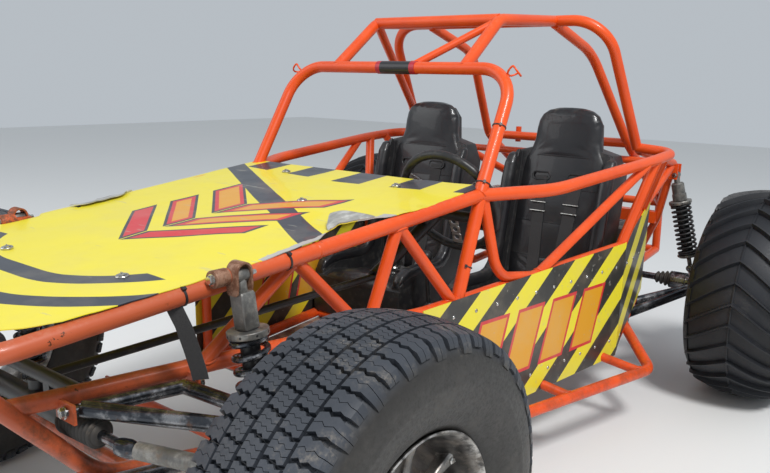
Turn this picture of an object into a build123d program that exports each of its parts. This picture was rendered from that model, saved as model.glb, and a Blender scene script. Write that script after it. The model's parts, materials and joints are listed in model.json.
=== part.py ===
from build123d import *
from math import atan2, cos, degrees, hypot, pi, radians, sin
import os

os.makedirs("parts", exist_ok=True)

# Two-seat tube-frame dune buggy, millimetres, +Z up, nose toward -Y, driver's side at +X.
# The origin is on the ground, in the middle of the outline.

# Driving dimensions
WHEELBASE = 2240.0
FRONT_AXLE_Y = -1164.0
REAR_AXLE_Y = FRONT_AXLE_Y + WHEELBASE
FRONT_WHEEL_X = 808.0
REAR_WHEEL_X = 944.0
FRONT_TYRE_R = 407.0
REAR_TYRE_R = 411.0
NOSE_Y = -1681.0
TAIL_Y = 1681.0
HOOP_Y = -280.0

# Tube sizes
MAIN_R = 19.0
BRACE_R = 16.0
THIN_R = 12.5
SHEET = 3.0

# Frame heights and half widths
SILL_Z = 250.0
PIVOT_Z = 315.0
PIVOT_Y = 690.0

# Named frame points on the driver's side: x, y, z
NOSE_TIP = (372.0, NOSE_Y, 757.0)
NOSE_MID = (405.0, -1180.0, 803.0)
HOOP_FOOT = (460.0, HOOP_Y, 893.0)
HOOP_SHOULDER = (440.0, -80.0, 1243.0)
ROOF_CORNER = (254.0, 128.0, 1400.0)
MAIN_HOOP_TOP = (465.0, 495.0, 1420.0)
MAIN_HOOP_FOOT = (512.0, 772.0, 972.0)
BELT_FRONT = (585.0, -60.0, 900.0)
BELT_REAR = (655.0, 560.0, 948.0)
BELT_CORNER = (655.0, 772.0, 962.0)
SILL_FRONT = (455.0, -530.0, SILL_Z)
SILL_FOLD = (588.0, 505.0, SILL_Z)
SILL_REAR = (530.0, 870.0, 380.0)
WAIST_NOSE = (222.0, -1560.0, 600.0)
WAIST_FRONT = (455.0, -530.0, 600.0)
WAIST_FOLD = (588.0, 505.0, 640.0)
WAIST_REAR = (530.0, 870.0, 745.0)
KEEL_TIP = (240.0, NOSE_Y + 10, 745.0)
KEEL_BEND = (240.0, -1370.0, 400.0)
KEEL_MID = (262.0, -1010.0, 330.0)
KICKER_TOP = (268.0, 500.0, 1412.0)
KICKER_BEND = (275.0, 823.0, 1323.0)
KICKER_FOOT = (345.0, 1115.0, 960.0)
TOWER = (530.0, 1170.0, 885.0)
TAIL_UPPER = (330.0, TAIL_Y - 20, 640.0)
TAIL_LOWER = (330.0, TAIL_Y, 400.0)
FRAME_HORN = (345.0, 1010.0, 345.0)

# Rear pivot tube, its tabs and bolts
PIVOT_TUBE_Y = 632.0
PIVOT_TUBE_Z = 303.0
PIVOT_OUTER = 530.0
PIVOT_INNER = 420.0
TAB = 6.0
TAB_GAP = 26.0
PIVOT_TABS = (
    PIVOT_OUTER - TAB_GAP, PIVOT_OUTER + TAB_GAP, PIVOT_INNER - TAB_GAP, PIVOT_INNER + TAB_GAP,
)
PIVOT_BOLT_R = 8.0

# Steering and suspension
KINGPIN_X = 700.0
UPPER_BALL_Z = 556.0
LOWER_BALL_Z = 262.0
RACK_Y = -1405.0
RACK_Z = 530.0
RACK_BAR = (256.0, RACK_Y, 600.0)
STEER_ARM = (680.0, -1310.0, 500.0)
STEERING_WHEEL = (285.0, -150.0, 850.0)
STEERING_TILT = 25.0
FRONT_SHOCK_TOP = (443.0, -1155.0, 824.0)
FRONT_SHOCK_FOOT = (500.0, -1130.0, 340.0)
REAR_SHOCK_TOP = (545.0, 1178.0, 838.0)
REAR_SHOCK_FOOT = (640.0, 1215.0, 440.0)
SEAT_X = 315.0

# Places for things a stranger brings: a tow shackle and a whip pole
TOW_EYE = (0.0, -1677.0, 699.0)
TOW_EYE_R = 13.0
TOW_PLATE = 10.0
WHIP_SOCKET = (-200.0, 1146.5, 930.0)
WHIP_SOCKET_R = 9.0
WHIP_SOCKET_WALL = 4.0
WHIP_SOCKET_LENGTH = 70.0


def flipped(point, side):
    """Give the same point on the driver's side (1) or the passenger's side (-1)."""
    return (point[0] * side, point[1], point[2])


def straight_tube(start, end, radius=MAIN_R, mode=Mode.ADD):
    """Add (or cut) one straight round tube in the part being built."""
    run = Vector(*end) - Vector(*start)
    with BuildSketch(Plane(origin=start, z_dir=run)) as section:
        Circle(radius)
    extrude(section.sketch, amount=run.length, mode=mode)


def bent_tube(points, bends, radius=MAIN_R):
    """Add one bent round tube: straight runs joined by arcs of the given radii."""
    with BuildLine() as path:
        FilletPolyline(*points, radius=bends)
    with BuildSketch(Plane(origin=path.line @ 0, z_dir=path.line % 0)) as section:
        Circle(radius)
    sweep(section.sketch, path=path.line)


def cut_away(*pieces):
    """Cope the part being built around the pieces that are already welded in."""
    for piece in pieces:
        add(piece, mode=Mode.SUBTRACT)


def save(builder, label):
    """Label the finished piece and write its STEP file."""
    builder.part.label = label
    export_step(builder.part, f"parts/{label}.step")


SIDES = ((1, "left"), (-1, "right"))

# Windshield hoop, one bent tube with a wide top bar
with BuildPart() as windshield_hoop:
    bent_tube(
        [HOOP_FOOT, HOOP_SHOULDER, flipped(HOOP_SHOULDER, -1), flipped(HOOP_FOOT, -1)],
        120,
    )
save(windshield_hoop, "windshield_hoop")

# Main hoop behind the seats, leaning back toward its feet
with BuildPart() as main_hoop:
    bent_tube(
        [MAIN_HOOP_FOOT, MAIN_HOOP_TOP, flipped(MAIN_HOOP_TOP, -1), flipped(MAIN_HOOP_FOOT, -1)],
        140,
    )
save(main_hoop, "main_hoop")

# Roof: risers that bend into the roof rails, a cross tube and two braces
with BuildPart() as roof_frame:
    for side, _ in SIDES:
        riser_foot = (260.0 * side, -82.0, 1243.0)
        rail_end = (268.0 * side, 495.0, 1420.0)
        bent_tube([riser_foot, flipped(ROOF_CORNER, side), rail_end], 90)
    straight_tube(flipped(ROOF_CORNER, -1), ROOF_CORNER)
    straight_tube((250.0, 120.0, 1394.0), (50.0, -81.0, 1243.0), THIN_R)
    straight_tube((-254.0, 135.0, 1394.0), (-500.0, 705.0, 1080.0), BRACE_R)
    cut_away(windshield_hoop.part, main_hoop.part)
save(roof_frame, "roof_frame")

# Nose: the bent upper rail loop and its truss of braces down to the waist rails
with BuildPart() as nose_frame:
    bent_tube(
        [HOOP_FOOT, NOSE_MID, NOSE_TIP, flipped(NOSE_TIP, -1), flipped(NOSE_MID, -1),
         flipped(HOOP_FOOT, -1)],
        [900, 110, 110, 900],
    )
    for side, _ in SIDES:
        boss = (FRONT_SHOCK_TOP[0] * side - 15 * side, FRONT_SHOCK_TOP[1] - 56, FRONT_SHOCK_TOP[2] - 2)
        straight_tube(boss, (boss[0], FRONT_SHOCK_TOP[1] - 18, boss[2]), 17)
    with BuildSketch(Plane.YZ.offset(-TOW_PLATE / 2)) as tow_plate:
        with Locations((TOW_EYE[1], TOW_EYE[2])):
            Circle(TOW_EYE_R + 10)
        with Locations((TOW_EYE[1], TOW_EYE[2] + 20)):
            Rectangle(2 * TOW_EYE_R + 20, 40)
        with Locations((TOW_EYE[1], TOW_EYE[2])):
            Circle(TOW_EYE_R, mode=Mode.SUBTRACT)
    extrude(tow_plate.sketch, amount=TOW_PLATE)
    cut_away(windshield_hoop.part)
save(nose_frame, "nose_frame")

# Pivots of the front arms: front foot, rear foot, and the bolt that carries both
ARM_FEET = {
    "upper": ((296.0, -1425.0, 585.0), (340.0, -1225.0, 580.0)),
    "lower": ((285.0, -1390.0, 405.0), (290.0, -1040.0, 345.0)),
}
BOLT_OVERHANG = 34.0


def arm_bolt(level, side, mode=Mode.ADD):
    """Add (or bore the hole for) the bolt through both feet of one arm."""
    front_foot, rear_foot = [Vector(*flipped(point, side)) for point in ARM_FEET[level]]
    overhang = (rear_foot - front_foot).normalized() * BOLT_OVERHANG
    straight_tube(tuple(front_foot - overhang), tuple(rear_foot + overhang), PIVOT_BOLT_R, mode)


def arm_tabs(level, side):
    """Add the tabs that hold one arm's pivot bolt beside its rail."""
    for foot, offset in zip(ARM_FEET[level], (-27, 27)):
        with Locations(flipped((foot[0] - 14, foot[1] + offset, foot[2]), side)):
            Box(64, 6, 40)
    arm_bolt(level, side, Mode.SUBTRACT)


# Lower frame: keel and sill rails in one run from nose to tail, with cross tubes
CROSS_TUBES = (  # y, half width, height
    (-1300.0, 244.0, 386.0),
    (-1010.0, 262.0, 330.0),
    (-530.0, 455.0, SILL_Z),
    (110.0, 537.0, SILL_Z),
    (480.0, 584.0, SILL_Z),
)
with BuildPart() as lower_frame:
    for side, _ in SIDES:
        run = [KEEL_TIP, KEEL_BEND, KEEL_MID, SILL_FRONT, SILL_FOLD, SILL_REAR, FRAME_HORN, TAIL_LOWER]
        bent_tube([flipped(p, side) for p in run], [160, 200, 200, 120, 100, 80])
    for y, half_width, z in CROSS_TUBES:
        straight_tube((-half_width, y, z), (half_width, y, z), BRACE_R)
    straight_tube(flipped(TAIL_LOWER, -1), TAIL_LOWER)
    straight_tube((-556.0, PIVOT_TUBE_Y, PIVOT_TUBE_Z), (556.0, PIVOT_TUBE_Y, PIVOT_TUBE_Z), 22)
    for x in PIVOT_TABS:
        for side, _ in SIDES:
            with BuildSketch(Plane.YZ.offset(x * side - TAB / 2)):
                with BuildLine():
                    Polyline(
                        (PIVOT_TUBE_Y - 8, PIVOT_TUBE_Z - 20), (PIVOT_Y + 10, PIVOT_Z - 26),
                        (PIVOT_Y + 26, PIVOT_Z), (PIVOT_Y + 10, PIVOT_Z + 26),
                        (PIVOT_TUBE_Y - 8, PIVOT_TUBE_Z + 20), close=True,
                    )
                make_face()
                with Locations((PIVOT_Y, PIVOT_Z)):
                    Circle(PIVOT_BOLT_R, mode=Mode.SUBTRACT)
            extrude(amount=TAB)
    for side, _ in SIDES:
        arm_tabs("lower", side)
    cut_away(nose_frame.part)
save(lower_frame, "lower_frame")

# Side frames: belt rail, waist rail, pillars and the truss braces of one side
for side, name in SIDES:
    with BuildPart() as side_frame:
        belt = [HOOP_FOOT, BELT_FRONT, BELT_REAR, BELT_CORNER, MAIN_HOOP_FOOT]
        bent_tube([flipped(p, side) for p in belt], [350, 900, 65])
        waist = [WAIST_NOSE, WAIST_FRONT, WAIST_FOLD, WAIST_REAR]
        bent_tube([flipped(p, side) for p in waist], [500, 90])
        BRACES = (  # start, end, radius
            ((411.0, -970.0, 817.0), (312.0, -1160.0, 600.0), BRACE_R),
            ((411.0, -970.0, 817.0), (430.0, -740.0, 595.0), BRACE_R),
            ((437.0, -630.0, 851.0), (430.0, -740.0, 595.0), BRACE_R),
            ((437.0, -630.0, 851.0), (470.0, -410.0, 605.0), BRACE_R),
            ((460.0, -278.0, 880.0), (470.0, -390.0, 605.0), MAIN_R),
            ((520.0, -10.0, 620.0), (652.0, 505.0, 935.0), BRACE_R),
            ((654.0, 590.0, 945.0), (588.0, 505.0, 645.0), MAIN_R),
            ((650.0, 690.0, 955.0), (545.0, 800.0, 725.0), BRACE_R),
            ((455.0, -530.0, 600.0), (455.0, -530.0, SILL_Z), BRACE_R),
            ((588.0, 505.0, 640.0), (588.0, 505.0, SILL_Z), BRACE_R),
            ((530.0, 870.0, 745.0), (530.0, 870.0, 380.0), BRACE_R),
        )
        for start, end, radius in BRACES:
            straight_tube(flipped(start, side), flipped(end, side), radius)
        arm_tabs("upper", side)
        pillar = [(462.0, -262.0, 885.0), (500.0, -225.0, 650.0), (516.0, -20.0, 618.0)]
        bent_tube([flipped(p, side) for p in pillar], 90, BRACE_R)
        cut_away(windshield_hoop.part, main_hoop.part, nose_frame.part, lower_frame.part)
    save(side_frame, f"side_frame_{name}")
    if side > 0:
        side_frame_left = side_frame
    else:
        side_frame_right = side_frame

# Rear frame: kickers from the main hoop, shock towers and the cage round the engine
with BuildPart() as rear_frame:
    for side, _ in SIDES:
        kicker = [KICKER_TOP, KICKER_BEND, KICKER_FOOT, TAIL_UPPER]
        bent_tube([flipped(p, side) for p in kicker], [250, 200])
        tower = [(520.0, 790.0, 962.0), TOWER, TAIL_UPPER]
        bent_tube([flipped(p, side) for p in tower], [120])
        straight_tube(flipped(TAIL_UPPER, side), flipped(TAIL_LOWER, side))
        strut = [TOWER, (470.0, 1225.0, 640.0), (337.0, 1330.0, 372.0)]
        bent_tube([flipped(p, side) for p in strut], [90], BRACE_R)
        straight_tube(flipped((530.0, 870.0, 740.0), side), flipped(TOWER, side), BRACE_R)
    straight_tube(flipped(KICKER_FOOT, -1), KICKER_FOOT)
    straight_tube(flipped(TAIL_UPPER, -1), TAIL_UPPER)
    straight_tube(flipped(TOWER, -1), TOWER, BRACE_R)
    with Locations((0, 1225, 640)):
        Box(2 * 470, 50, 50)
    for side, _ in SIDES:
        for y in (REAR_SHOCK_TOP[1] - 19, REAR_SHOCK_TOP[1] + 19):
            with Locations(flipped((REAR_SHOCK_TOP[0] - 6, y, REAR_SHOCK_TOP[2] + 14), side)):
                Box(34, 6, 64)
    cut_away(main_hoop.part, lower_frame.part, roof_frame.part)
    cut_away(side_frame_left.part, side_frame_right.part)
save(rear_frame, "rear_frame")

# Open socket for a whip pole, welded behind the rear cross tube
with BuildPart() as whip_socket:
    socket_top = (WHIP_SOCKET[0], WHIP_SOCKET[1], WHIP_SOCKET[2] + WHIP_SOCKET_LENGTH)
    straight_tube(WHIP_SOCKET, socket_top, WHIP_SOCKET_R + WHIP_SOCKET_WALL)
    straight_tube(WHIP_SOCKET, socket_top, WHIP_SOCKET_R, Mode.SUBTRACT)
    cut_away(rear_frame.part)
save(whip_socket, "whip_socket")

# Floor pan under the cabin rails
FLOOR_Z = SILL_Z - MAIN_R - SHEET
with BuildPart() as floor_pan:
    with BuildSketch(Plane.XY.offset(FLOOR_Z)):
        with BuildLine():
            Polyline(
                (443, -530), (576, 505), (548, 585), (-548, 585), (-576, 505), (-443, -530),
                close=True,
            )
        make_face()
    extrude(amount=SHEET)
save(floor_pan, "floor_pan")

# Step bars outside the sills, each with two struts
for side, name in SIDES:
    with BuildPart() as step_bar:
        run = [(463.0, -480.0, SILL_Z), (525.0, -415.0, 222.0), (752.0, 470.0, 222.0), (572.0, 668.0, 300.0)]
        bent_tube([flipped(p, side) for p in run], [60, 60])
        straight_tube(flipped((524.0, 30.0, SILL_Z), side), flipped((636.0, 50.0, 224.0), side), BRACE_R)
        straight_tube(flipped((576.0, 410.0, SILL_Z), side), flipped((731.0, 420.0, 224.0), side), BRACE_R)
        cut_away(lower_frame.part, (side_frame_left if side > 0 else side_frame_right).part)
    save(step_bar, f"step_bar_{name}")
    if side > 0:
        step_bar_left = step_bar
    else:
        step_bar_right = step_bar

# Side panels: a long flat sheet, folded in behind the cabin, its outline as distance and height
PANEL_GAP = MAIN_R + 0.2
PANEL_RUNS = (  # start and end in plan, then the outline along that run
    ((455.0, -560.0), (588.0, 498.0), ((0, 232), (1069, 232), (1069, 658), (0, 618))),
    ((588.0, 498.0), (533.0, 863.0), ((-3, 232), (87, 296), (369, 402), (369, 762), (-3, 658))),
)
for side, name in SIDES:
    with BuildPart() as side_panel:
        for start, end, outline in PANEL_RUNS:
            run = Vector((end[0] - start[0]) * side, end[1] - start[1], 0).normalized()
            foot = Vector((start[0] + PANEL_GAP) * side, start[1], 0)
            wall = Plane(origin=foot, x_dir=run, z_dir=run.cross(Vector(0, 0, 1)))
            with BuildSketch(wall) as sheet:
                with BuildLine():
                    Polyline(*outline, close=True)
                make_face()
            extrude(sheet.sketch, amount=SHEET * side)
        cut_away(lower_frame.part, (step_bar_left if side > 0 else step_bar_right).part)
        cut_away((side_frame_left if side > 0 else side_frame_right).part)
    save(side_panel, f"side_panel_{name}")

# Hood: one thin sheet lying on the nose rails, bent where they bend, with a torn edge
HOOD_LIFT = MAIN_R + 0.5
HOOD_PLAN = (  # x, y round the torn sheet, from the driver's rear corner
    (452, -254), (448, -560), (438, -640), (392, -800), (420, -905), (404, -1180), (390, -1420), (352, -1560),
    (298, -1621), (-385, -1621), (-410, -1226), (-406, -1218), (-406, -1116), (-433, -1104), (-468, -262),
)
with BuildPart() as hood_panel:
    with BuildSketch(Plane.YZ.offset(-500)):
        with BuildLine():
            top = [
                (HOOP_Y + 26, HOOP_FOOT[2] + HOOD_LIFT - 2),
                (NOSE_MID[1], NOSE_MID[2] + HOOD_LIFT),
                (NOSE_Y + 60, NOSE_TIP[2] + HOOD_LIFT + 6),
            ]
            Polyline(*top, *[(y, z + SHEET) for y, z in reversed(top)], close=True)
        make_face()
    extrude(amount=960)
    with BuildSketch(Plane.XY.offset(700)):
        with BuildLine():
            Polyline(*HOOD_PLAN, close=True)
        make_face()
    extrude(amount=300, mode=Mode.INTERSECT)
    cut_away(windshield_hoop.part, nose_frame.part)
    cut_away(side_frame_left.part, side_frame_right.part)
save(hood_panel, "hood_panel")

# Wheels: tyre rings and rims, turned about the X axis; radii and half widths
FRONT_TYRE = {"radius": FRONT_TYRE_R, "half": 134.0, "tread": 112.0, "bead": 216.0, "shoulder": 392.0}
REAR_TYRE = {"radius": REAR_TYRE_R - 20, "half": 183.0, "tread": 165.0, "bead": 191.0, "shoulder": 358.0}
RIB_COUNT = 32
RIB_SWEEP = 19.0
RIB_WIDTH = 11.0
RIB_DEPTH = 34.0
RIB_TIP = (168.0, 374.0)  # the rib's outer end: distance aside and radius


def tyre(center, size):
    """Turn one tyre ring: bead, bulging side wall, round shoulder and crowned tread."""
    section_plane = Plane(origin=center, x_dir=(1, 0, 0), z_dir=(0, -1, 0))
    wall_r = (size["bead"] + size["shoulder"]) / 2
    bead = (size["tread"] - 14, size["bead"])
    bulge = (size["half"], wall_r)
    shoulder = (size["tread"], size["shoulder"])
    left_bead, left_bulge, left_shoulder = [(-x, r) for x, r in (bead, bulge, shoulder)]
    with BuildSketch(section_plane) as section:
        with BuildLine():
            Line(left_bead, bead)
            ThreePointArc(bead, bulge, shoulder)
            ThreePointArc(shoulder, (0, size["radius"]), left_shoulder)
            ThreePointArc(left_shoulder, left_bulge, left_bead)
        make_face()
    revolve(section.sketch, axis=Axis(center, (1, 0, 0)))


def paddle_ribs(center):
    """Add the chevron ribs: straight bars from the crown's middle to both shoulders."""
    for rib in range(RIB_COUNT):
        crown_angle = radians(rib * 360 / RIB_COUNT + 6.5)
        tip_angle = crown_angle - radians(RIB_SWEEP)
        crown = Vector(0, -cos(crown_angle), sin(crown_angle)) * REAR_TYRE_R
        for side, _ in SIDES:
            tip = Vector(0, -cos(tip_angle), sin(tip_angle)) * RIB_TIP[1] + Vector(RIB_TIP[0] * side, 0, 0)
            run = tip - crown
            outward = (tip + crown).normalized()
            across = run.cross(outward).normalized()
            outward = across.cross(run).normalized()
            bar = Plane(origin=Vector(*center) + (tip + crown) * 0.5, x_dir=run, z_dir=outward)
            with BuildSketch(bar) as footprint:
                Rectangle(run.length, RIB_WIDTH)
            extrude(footprint.sketch, amount=-RIB_DEPTH)


def rim_barrel(center, size):
    """Turn the barrel of one rim with its two flanges."""
    barrel = size["bead"] - 0.5
    edge = size["tread"] - 16
    section_plane = Plane(origin=center, x_dir=(1, 0, 0), z_dir=(0, -1, 0))
    with BuildSketch(section_plane) as section:
        with Locations((0, barrel - 5)):
            Rectangle(2 * edge, 10)
        with Locations((edge - 4, barrel - 12), (-edge + 4, barrel - 12)):
            Rectangle(8, 24)
    revolve(section.sketch, axis=Axis(center, (1, 0, 0)))


def rim_hub(center, side, dish, bore):
    """Add the hub boss and bore it for its spindle."""
    hub = Location((center[0] + side * (dish + 10), center[1], center[2]), (0, 90, 0))
    with Locations(hub):
        Cylinder(60, 36)
        Cylinder(bore, 400, mode=Mode.SUBTRACT)


FRONT_HUB = (FRONT_WHEEL_X, FRONT_AXLE_Y, FRONT_TYRE_R)
REAR_HUB = (REAR_WHEEL_X, REAR_AXLE_Y, REAR_TYRE_R)
SPINDLE_R = 18.0
STUB_R = 22.0
RUNNING = 0.05
FRONT_DISH = 38.0
REAR_DISH = -30.0
SPOKE_PAIRS = 5
SPOKE_SPREAD = 13.0
for side, name in SIDES:
    with BuildPart() as front_tyre:
        tyre(flipped(FRONT_HUB, side), FRONT_TYRE)
    save(front_tyre, f"front_tyre_{name}")

    with BuildPart() as front_rim:
        center = flipped(FRONT_HUB, side)
        rim_barrel(center, FRONT_TYRE)
        face_x = center[0] + side * FRONT_DISH - 9
        spoke_plane = Plane(origin=(face_x, center[1], center[2]), x_dir=(0, 1, 0), z_dir=(1, 0, 0))
        with BuildSketch(spoke_plane) as spokes:
            for pair in range(SPOKE_PAIRS):
                for lean in (-SPOKE_SPREAD, SPOKE_SPREAD):
                    with Locations(Location((0, 0, 0), 90 + pair * 360 / SPOKE_PAIRS + lean)):
                        with Locations((125, 0)):
                            Rectangle(172, 19)
        extrude(spokes.sketch, amount=18)
        rim_hub(center, side, FRONT_DISH - 10, SPINDLE_R + RUNNING)
    save(front_rim, f"front_rim_{name}")

    with BuildPart() as rear_tyre:
        tyre(flipped(REAR_HUB, side), REAR_TYRE)
        paddle_ribs(flipped(REAR_HUB, side))
    save(rear_tyre, f"rear_tyre_{name}")

    with BuildPart() as rear_rim:
        center = flipped(REAR_HUB, side)
        rim_barrel(center, REAR_TYRE)
        face_x = center[0] + side * REAR_DISH - 8
        disc_plane = Plane(origin=(face_x, center[1], center[2]), x_dir=(0, 1, 0), z_dir=(1, 0, 0))
        with BuildSketch(disc_plane) as disc:
            Circle(REAR_TYRE["bead"] - 4)
            with PolarLocations(128, 8):
                Circle(26, mode=Mode.SUBTRACT)
        extrude(disc.sketch, amount=16)
        rim_hub(center, side, REAR_DISH, STUB_R)
    save(rear_rim, f"rear_rim_{name}")

# Front suspension arms, fixed at ride height, each with a ball housing on the steering axis
STUD_R = 9.0
HOUSING = 28.0
BALL_GAP = 12.0


def ball_housing(center):
    """Add an upright ring that the steering knuckle's stud turns in."""
    with Locations(center):
        Cylinder(24, HOUSING)


def stud_hole(center):
    """Bore the ball housing after its arm tubes are on."""
    with Locations(center):
        Cylinder(STUD_R + RUNNING, HOUSING + 20, mode=Mode.SUBTRACT)


for side, name in SIDES:
    side_frame = side_frame_left if side > 0 else side_frame_right
    for level, ball_z in (("upper", UPPER_BALL_Z), ("lower", LOWER_BALL_Z)):
        ball = flipped((KINGPIN_X, FRONT_AXLE_Y, ball_z), side)
        front_foot, rear_foot = [flipped(p, side) for p in ARM_FEET[level]]
        with BuildPart() as arm:
            straight_tube(front_foot, ball, 17)
            straight_tube(rear_foot, ball, BRACE_R)
            straight_tube(front_foot, rear_foot, BRACE_R)
            arm_bolt(level, side)
            if level == "lower":
                brace = (flipped((500.0, -1265.0, 330.0), side), flipped((500.0, -1106.0, 302.0), side))
                straight_tube(*brace, BRACE_R)
                for y in (-1151.0, -1109.0):
                    with Locations(flipped((500.0, y, 328.0), side)):
                        Box(34, 6, 56)
            with Locations(ball):
                Cylinder(19, 60, mode=Mode.SUBTRACT)
            ball_housing(ball)
            stud_hole(ball)
            cut_away(lower_frame.part, side_frame.part)
        save(arm, f"{level}_arm_{name}")

    with BuildPart() as knuckle:
        top = flipped((KINGPIN_X, FRONT_AXLE_Y, UPPER_BALL_Z - HOUSING / 2 - BALL_GAP), side)
        bottom = flipped((KINGPIN_X, FRONT_AXLE_Y, LOWER_BALL_Z + HOUSING / 2 + BALL_GAP), side)
        straight_tube(bottom, top, 16)
        stud_top = flipped((KINGPIN_X, FRONT_AXLE_Y, UPPER_BALL_Z + HOUSING / 2 - 2), side)
        stud_foot = flipped((KINGPIN_X, FRONT_AXLE_Y, LOWER_BALL_Z - HOUSING / 2 + 2), side)
        straight_tube(stud_foot, stud_top, STUD_R)
        flange = flipped((KINGPIN_X + 14, FRONT_AXLE_Y, FRONT_TYRE_R), side)
        straight_tube(flipped((KINGPIN_X - 26, FRONT_AXLE_Y, FRONT_TYRE_R), side), flange, 48)
        straight_tube(flange, flipped((FRONT_WHEEL_X + 62, FRONT_AXLE_Y, FRONT_TYRE_R), side), SPINDLE_R)
        straight_tube(flipped((KINGPIN_X - 8, FRONT_AXLE_Y, 470.0), side), flipped(STEER_ARM, side), 10)
        with Locations(flipped(STEER_ARM, side)):
            Cylinder(17, 20)
    save(knuckle, f"knuckle_{name}")


# Steering rack: cross bar, fixed housing with bellows, a sliding rod and the two tie rods
HOUSING_END = 205.0
BOOT_END = 305.0
ROD_R = 11.0
ROD_STEP = 400.0
TIE_R = 13.0
FOLD = 12.5
with BuildPart() as steering_rack:
    straight_tube(flipped(RACK_BAR, -1), RACK_BAR, BRACE_R)
    straight_tube((-HOUSING_END, RACK_Y, RACK_Z), (HOUSING_END, RACK_Y, RACK_Z), 24)
    for side, _ in SIDES:
        housing_end = (HOUSING_END * side, RACK_Y, RACK_Z)
        boot_plane = Plane(origin=housing_end, x_dir=(side, 0, 0), z_dir=(0, -side, 0))
        with BuildSketch(boot_plane) as bellows:
            with BuildLine():
                folds = [(0, 0), (0, 22)]
                for fold in range(8):
                    folds += [(FOLD * fold + FOLD / 2, 26), (FOLD * fold + FOLD, 20)]
                Polyline(*folds, (BOOT_END - HOUSING_END, 0), close=True)
            make_face()
        revolve(bellows.sketch, axis=Axis((0, RACK_Y, RACK_Z), (1, 0, 0)))
        with Locations((150 * side, RACK_Y, (RACK_Z + RACK_BAR[2]) / 2)):
            Box(24, 30, 64)
    with Locations((60, RACK_Y + 16, RACK_Z + 12)):
        Cylinder(22, 66)
    with Locations(Location((0, RACK_Y, RACK_Z), (0, 90, 0))):
        Cylinder(ROD_R + RUNNING, 2 * BOOT_END + 40, mode=Mode.SUBTRACT)
    cut_away(side_frame_left.part, side_frame_right.part)
save(steering_rack, "steering_rack")

with BuildPart() as tie_rods:
    straight_tube((-ROD_STEP, RACK_Y, RACK_Z), (ROD_STEP, RACK_Y, RACK_Z), ROD_R)
    for side, _ in SIDES:
        eye = flipped((STEER_ARM[0], STEER_ARM[1], STEER_ARM[2] + 27), side)
        with Locations(flipped((ROD_STEP, RACK_Y, RACK_Z), side)):
            Cylinder(19, 36)
        straight_tube(flipped((ROD_STEP, RACK_Y, RACK_Z), side), eye, TIE_R)
        with Locations(eye):
            Cylinder(17, 24)
save(tie_rods, "tie_rods")

# Steering column and shaft, then the steering wheel that turns on the column's axis
COLUMN_DIR = Vector(0, cos(radians(STEERING_TILT)), sin(radians(STEERING_TILT)))
COLUMN_FOOT = tuple(Vector(*STEERING_WHEEL) - COLUMN_DIR * 420)
COLUMN_HEAD = tuple(Vector(*STEERING_WHEEL) - COLUMN_DIR * 60)
PINION = (60.0, RACK_Y + 16, RACK_Z + 45)
DASH_Z = 828.0
with BuildPart() as steering_column:
    straight_tube(COLUMN_FOOT, COLUMN_HEAD, 20)
    straight_tube(PINION, COLUMN_FOOT, 10)
    straight_tube((-470.0, HOOP_Y - 8, DASH_Z), (470.0, HOOP_Y - 8, DASH_Z), BRACE_R)
    with Locations((STEERING_WHEEL[0], HOOP_Y - 8, DASH_Z - 20)):
        Box(30, 40, 30)
    cut_away(windshield_hoop.part, nose_frame.part, side_frame_left.part, side_frame_right.part)
    cut_away(steering_rack.part)
save(steering_column, "steering_column")

WHEEL_R = 165.0
GRIP_R = 14.0
with BuildPart() as steering_wheel:
    wheel_plane = Plane(origin=STEERING_WHEEL, x_dir=(1, 0, 0), z_dir=COLUMN_DIR)
    with BuildSketch(wheel_plane) as hub_sketch:
        Circle(34)
    extrude(hub_sketch.sketch, amount=-58)
    with BuildSketch(wheel_plane.offset(-22)) as spokes:
        for angle in (90, 210, 330):
            with Locations(Location((0, 0, 0), angle)):
                with Locations((WHEEL_R / 2, 0)):
                    Rectangle(WHEEL_R, 34)
                with Locations((68, 0), (98, 0), (126, 0)):
                    Circle(9, mode=Mode.SUBTRACT)
    extrude(spokes.sketch, amount=4)
    with Locations(wheel_plane.offset(-20)):
        Torus(WHEEL_R, GRIP_R)
save(steering_wheel, "steering_wheel")

# Shocks: eye, body, clamp collar, coil spring on its inner tube, seat and rod, by distance down the axis
NECK_END = 40.0
WIRE = 9.0
COLLAR = 12.0


def damper(top, foot, body_end, body_r, square, coil_r, turns):
    """Add a coil-over damper from its top eye to its foot, body_end down the axis."""
    run = Vector(*foot) - Vector(*top)
    length = run.length
    seat_at = length - 64
    axis_plane = Plane(origin=top, z_dir=run)
    for offset in (0, length):
        with Locations(Plane(origin=axis_plane.origin + run.normalized() * offset, z_dir=(0, 1, 0))):
            Cylinder(15, 30)
    for start, end, radius in (
        (6, NECK_END, 12), (body_end - 2, body_end + COLLAR, coil_r + 4), (body_end, seat_at, coil_r - 16),
        (seat_at, seat_at + COLLAR, coil_r + 3), (seat_at, length, 9),
    ):
        with BuildSketch(axis_plane.offset(start)) as ring:
            Circle(radius)
        extrude(ring.sketch, amount=end - start)
    with BuildSketch(axis_plane.offset(NECK_END - 4)) as head:
        if square:
            Rectangle(2 * body_r, 2 * body_r)
        else:
            Circle(body_r)
    extrude(head.sketch, amount=body_end - NECK_END + 4)
    rise = seat_at - body_end - COLLAR + 4
    with BuildLine() as coil:
        Helix(
            pitch=rise / turns, height=rise, radius=coil_r - WIRE / 2,
            center=axis_plane.origin + run.normalized() * (body_end + COLLAR - 2), direction=run.normalized(),
        )
    with BuildSketch(Plane(origin=coil.line @ 0, x_dir=run, z_dir=coil.line % 0)) as wire:
        Rectangle(WIRE, WIRE)
    sweep(wire.sketch, path=coil.line, is_frenet=True)


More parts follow.
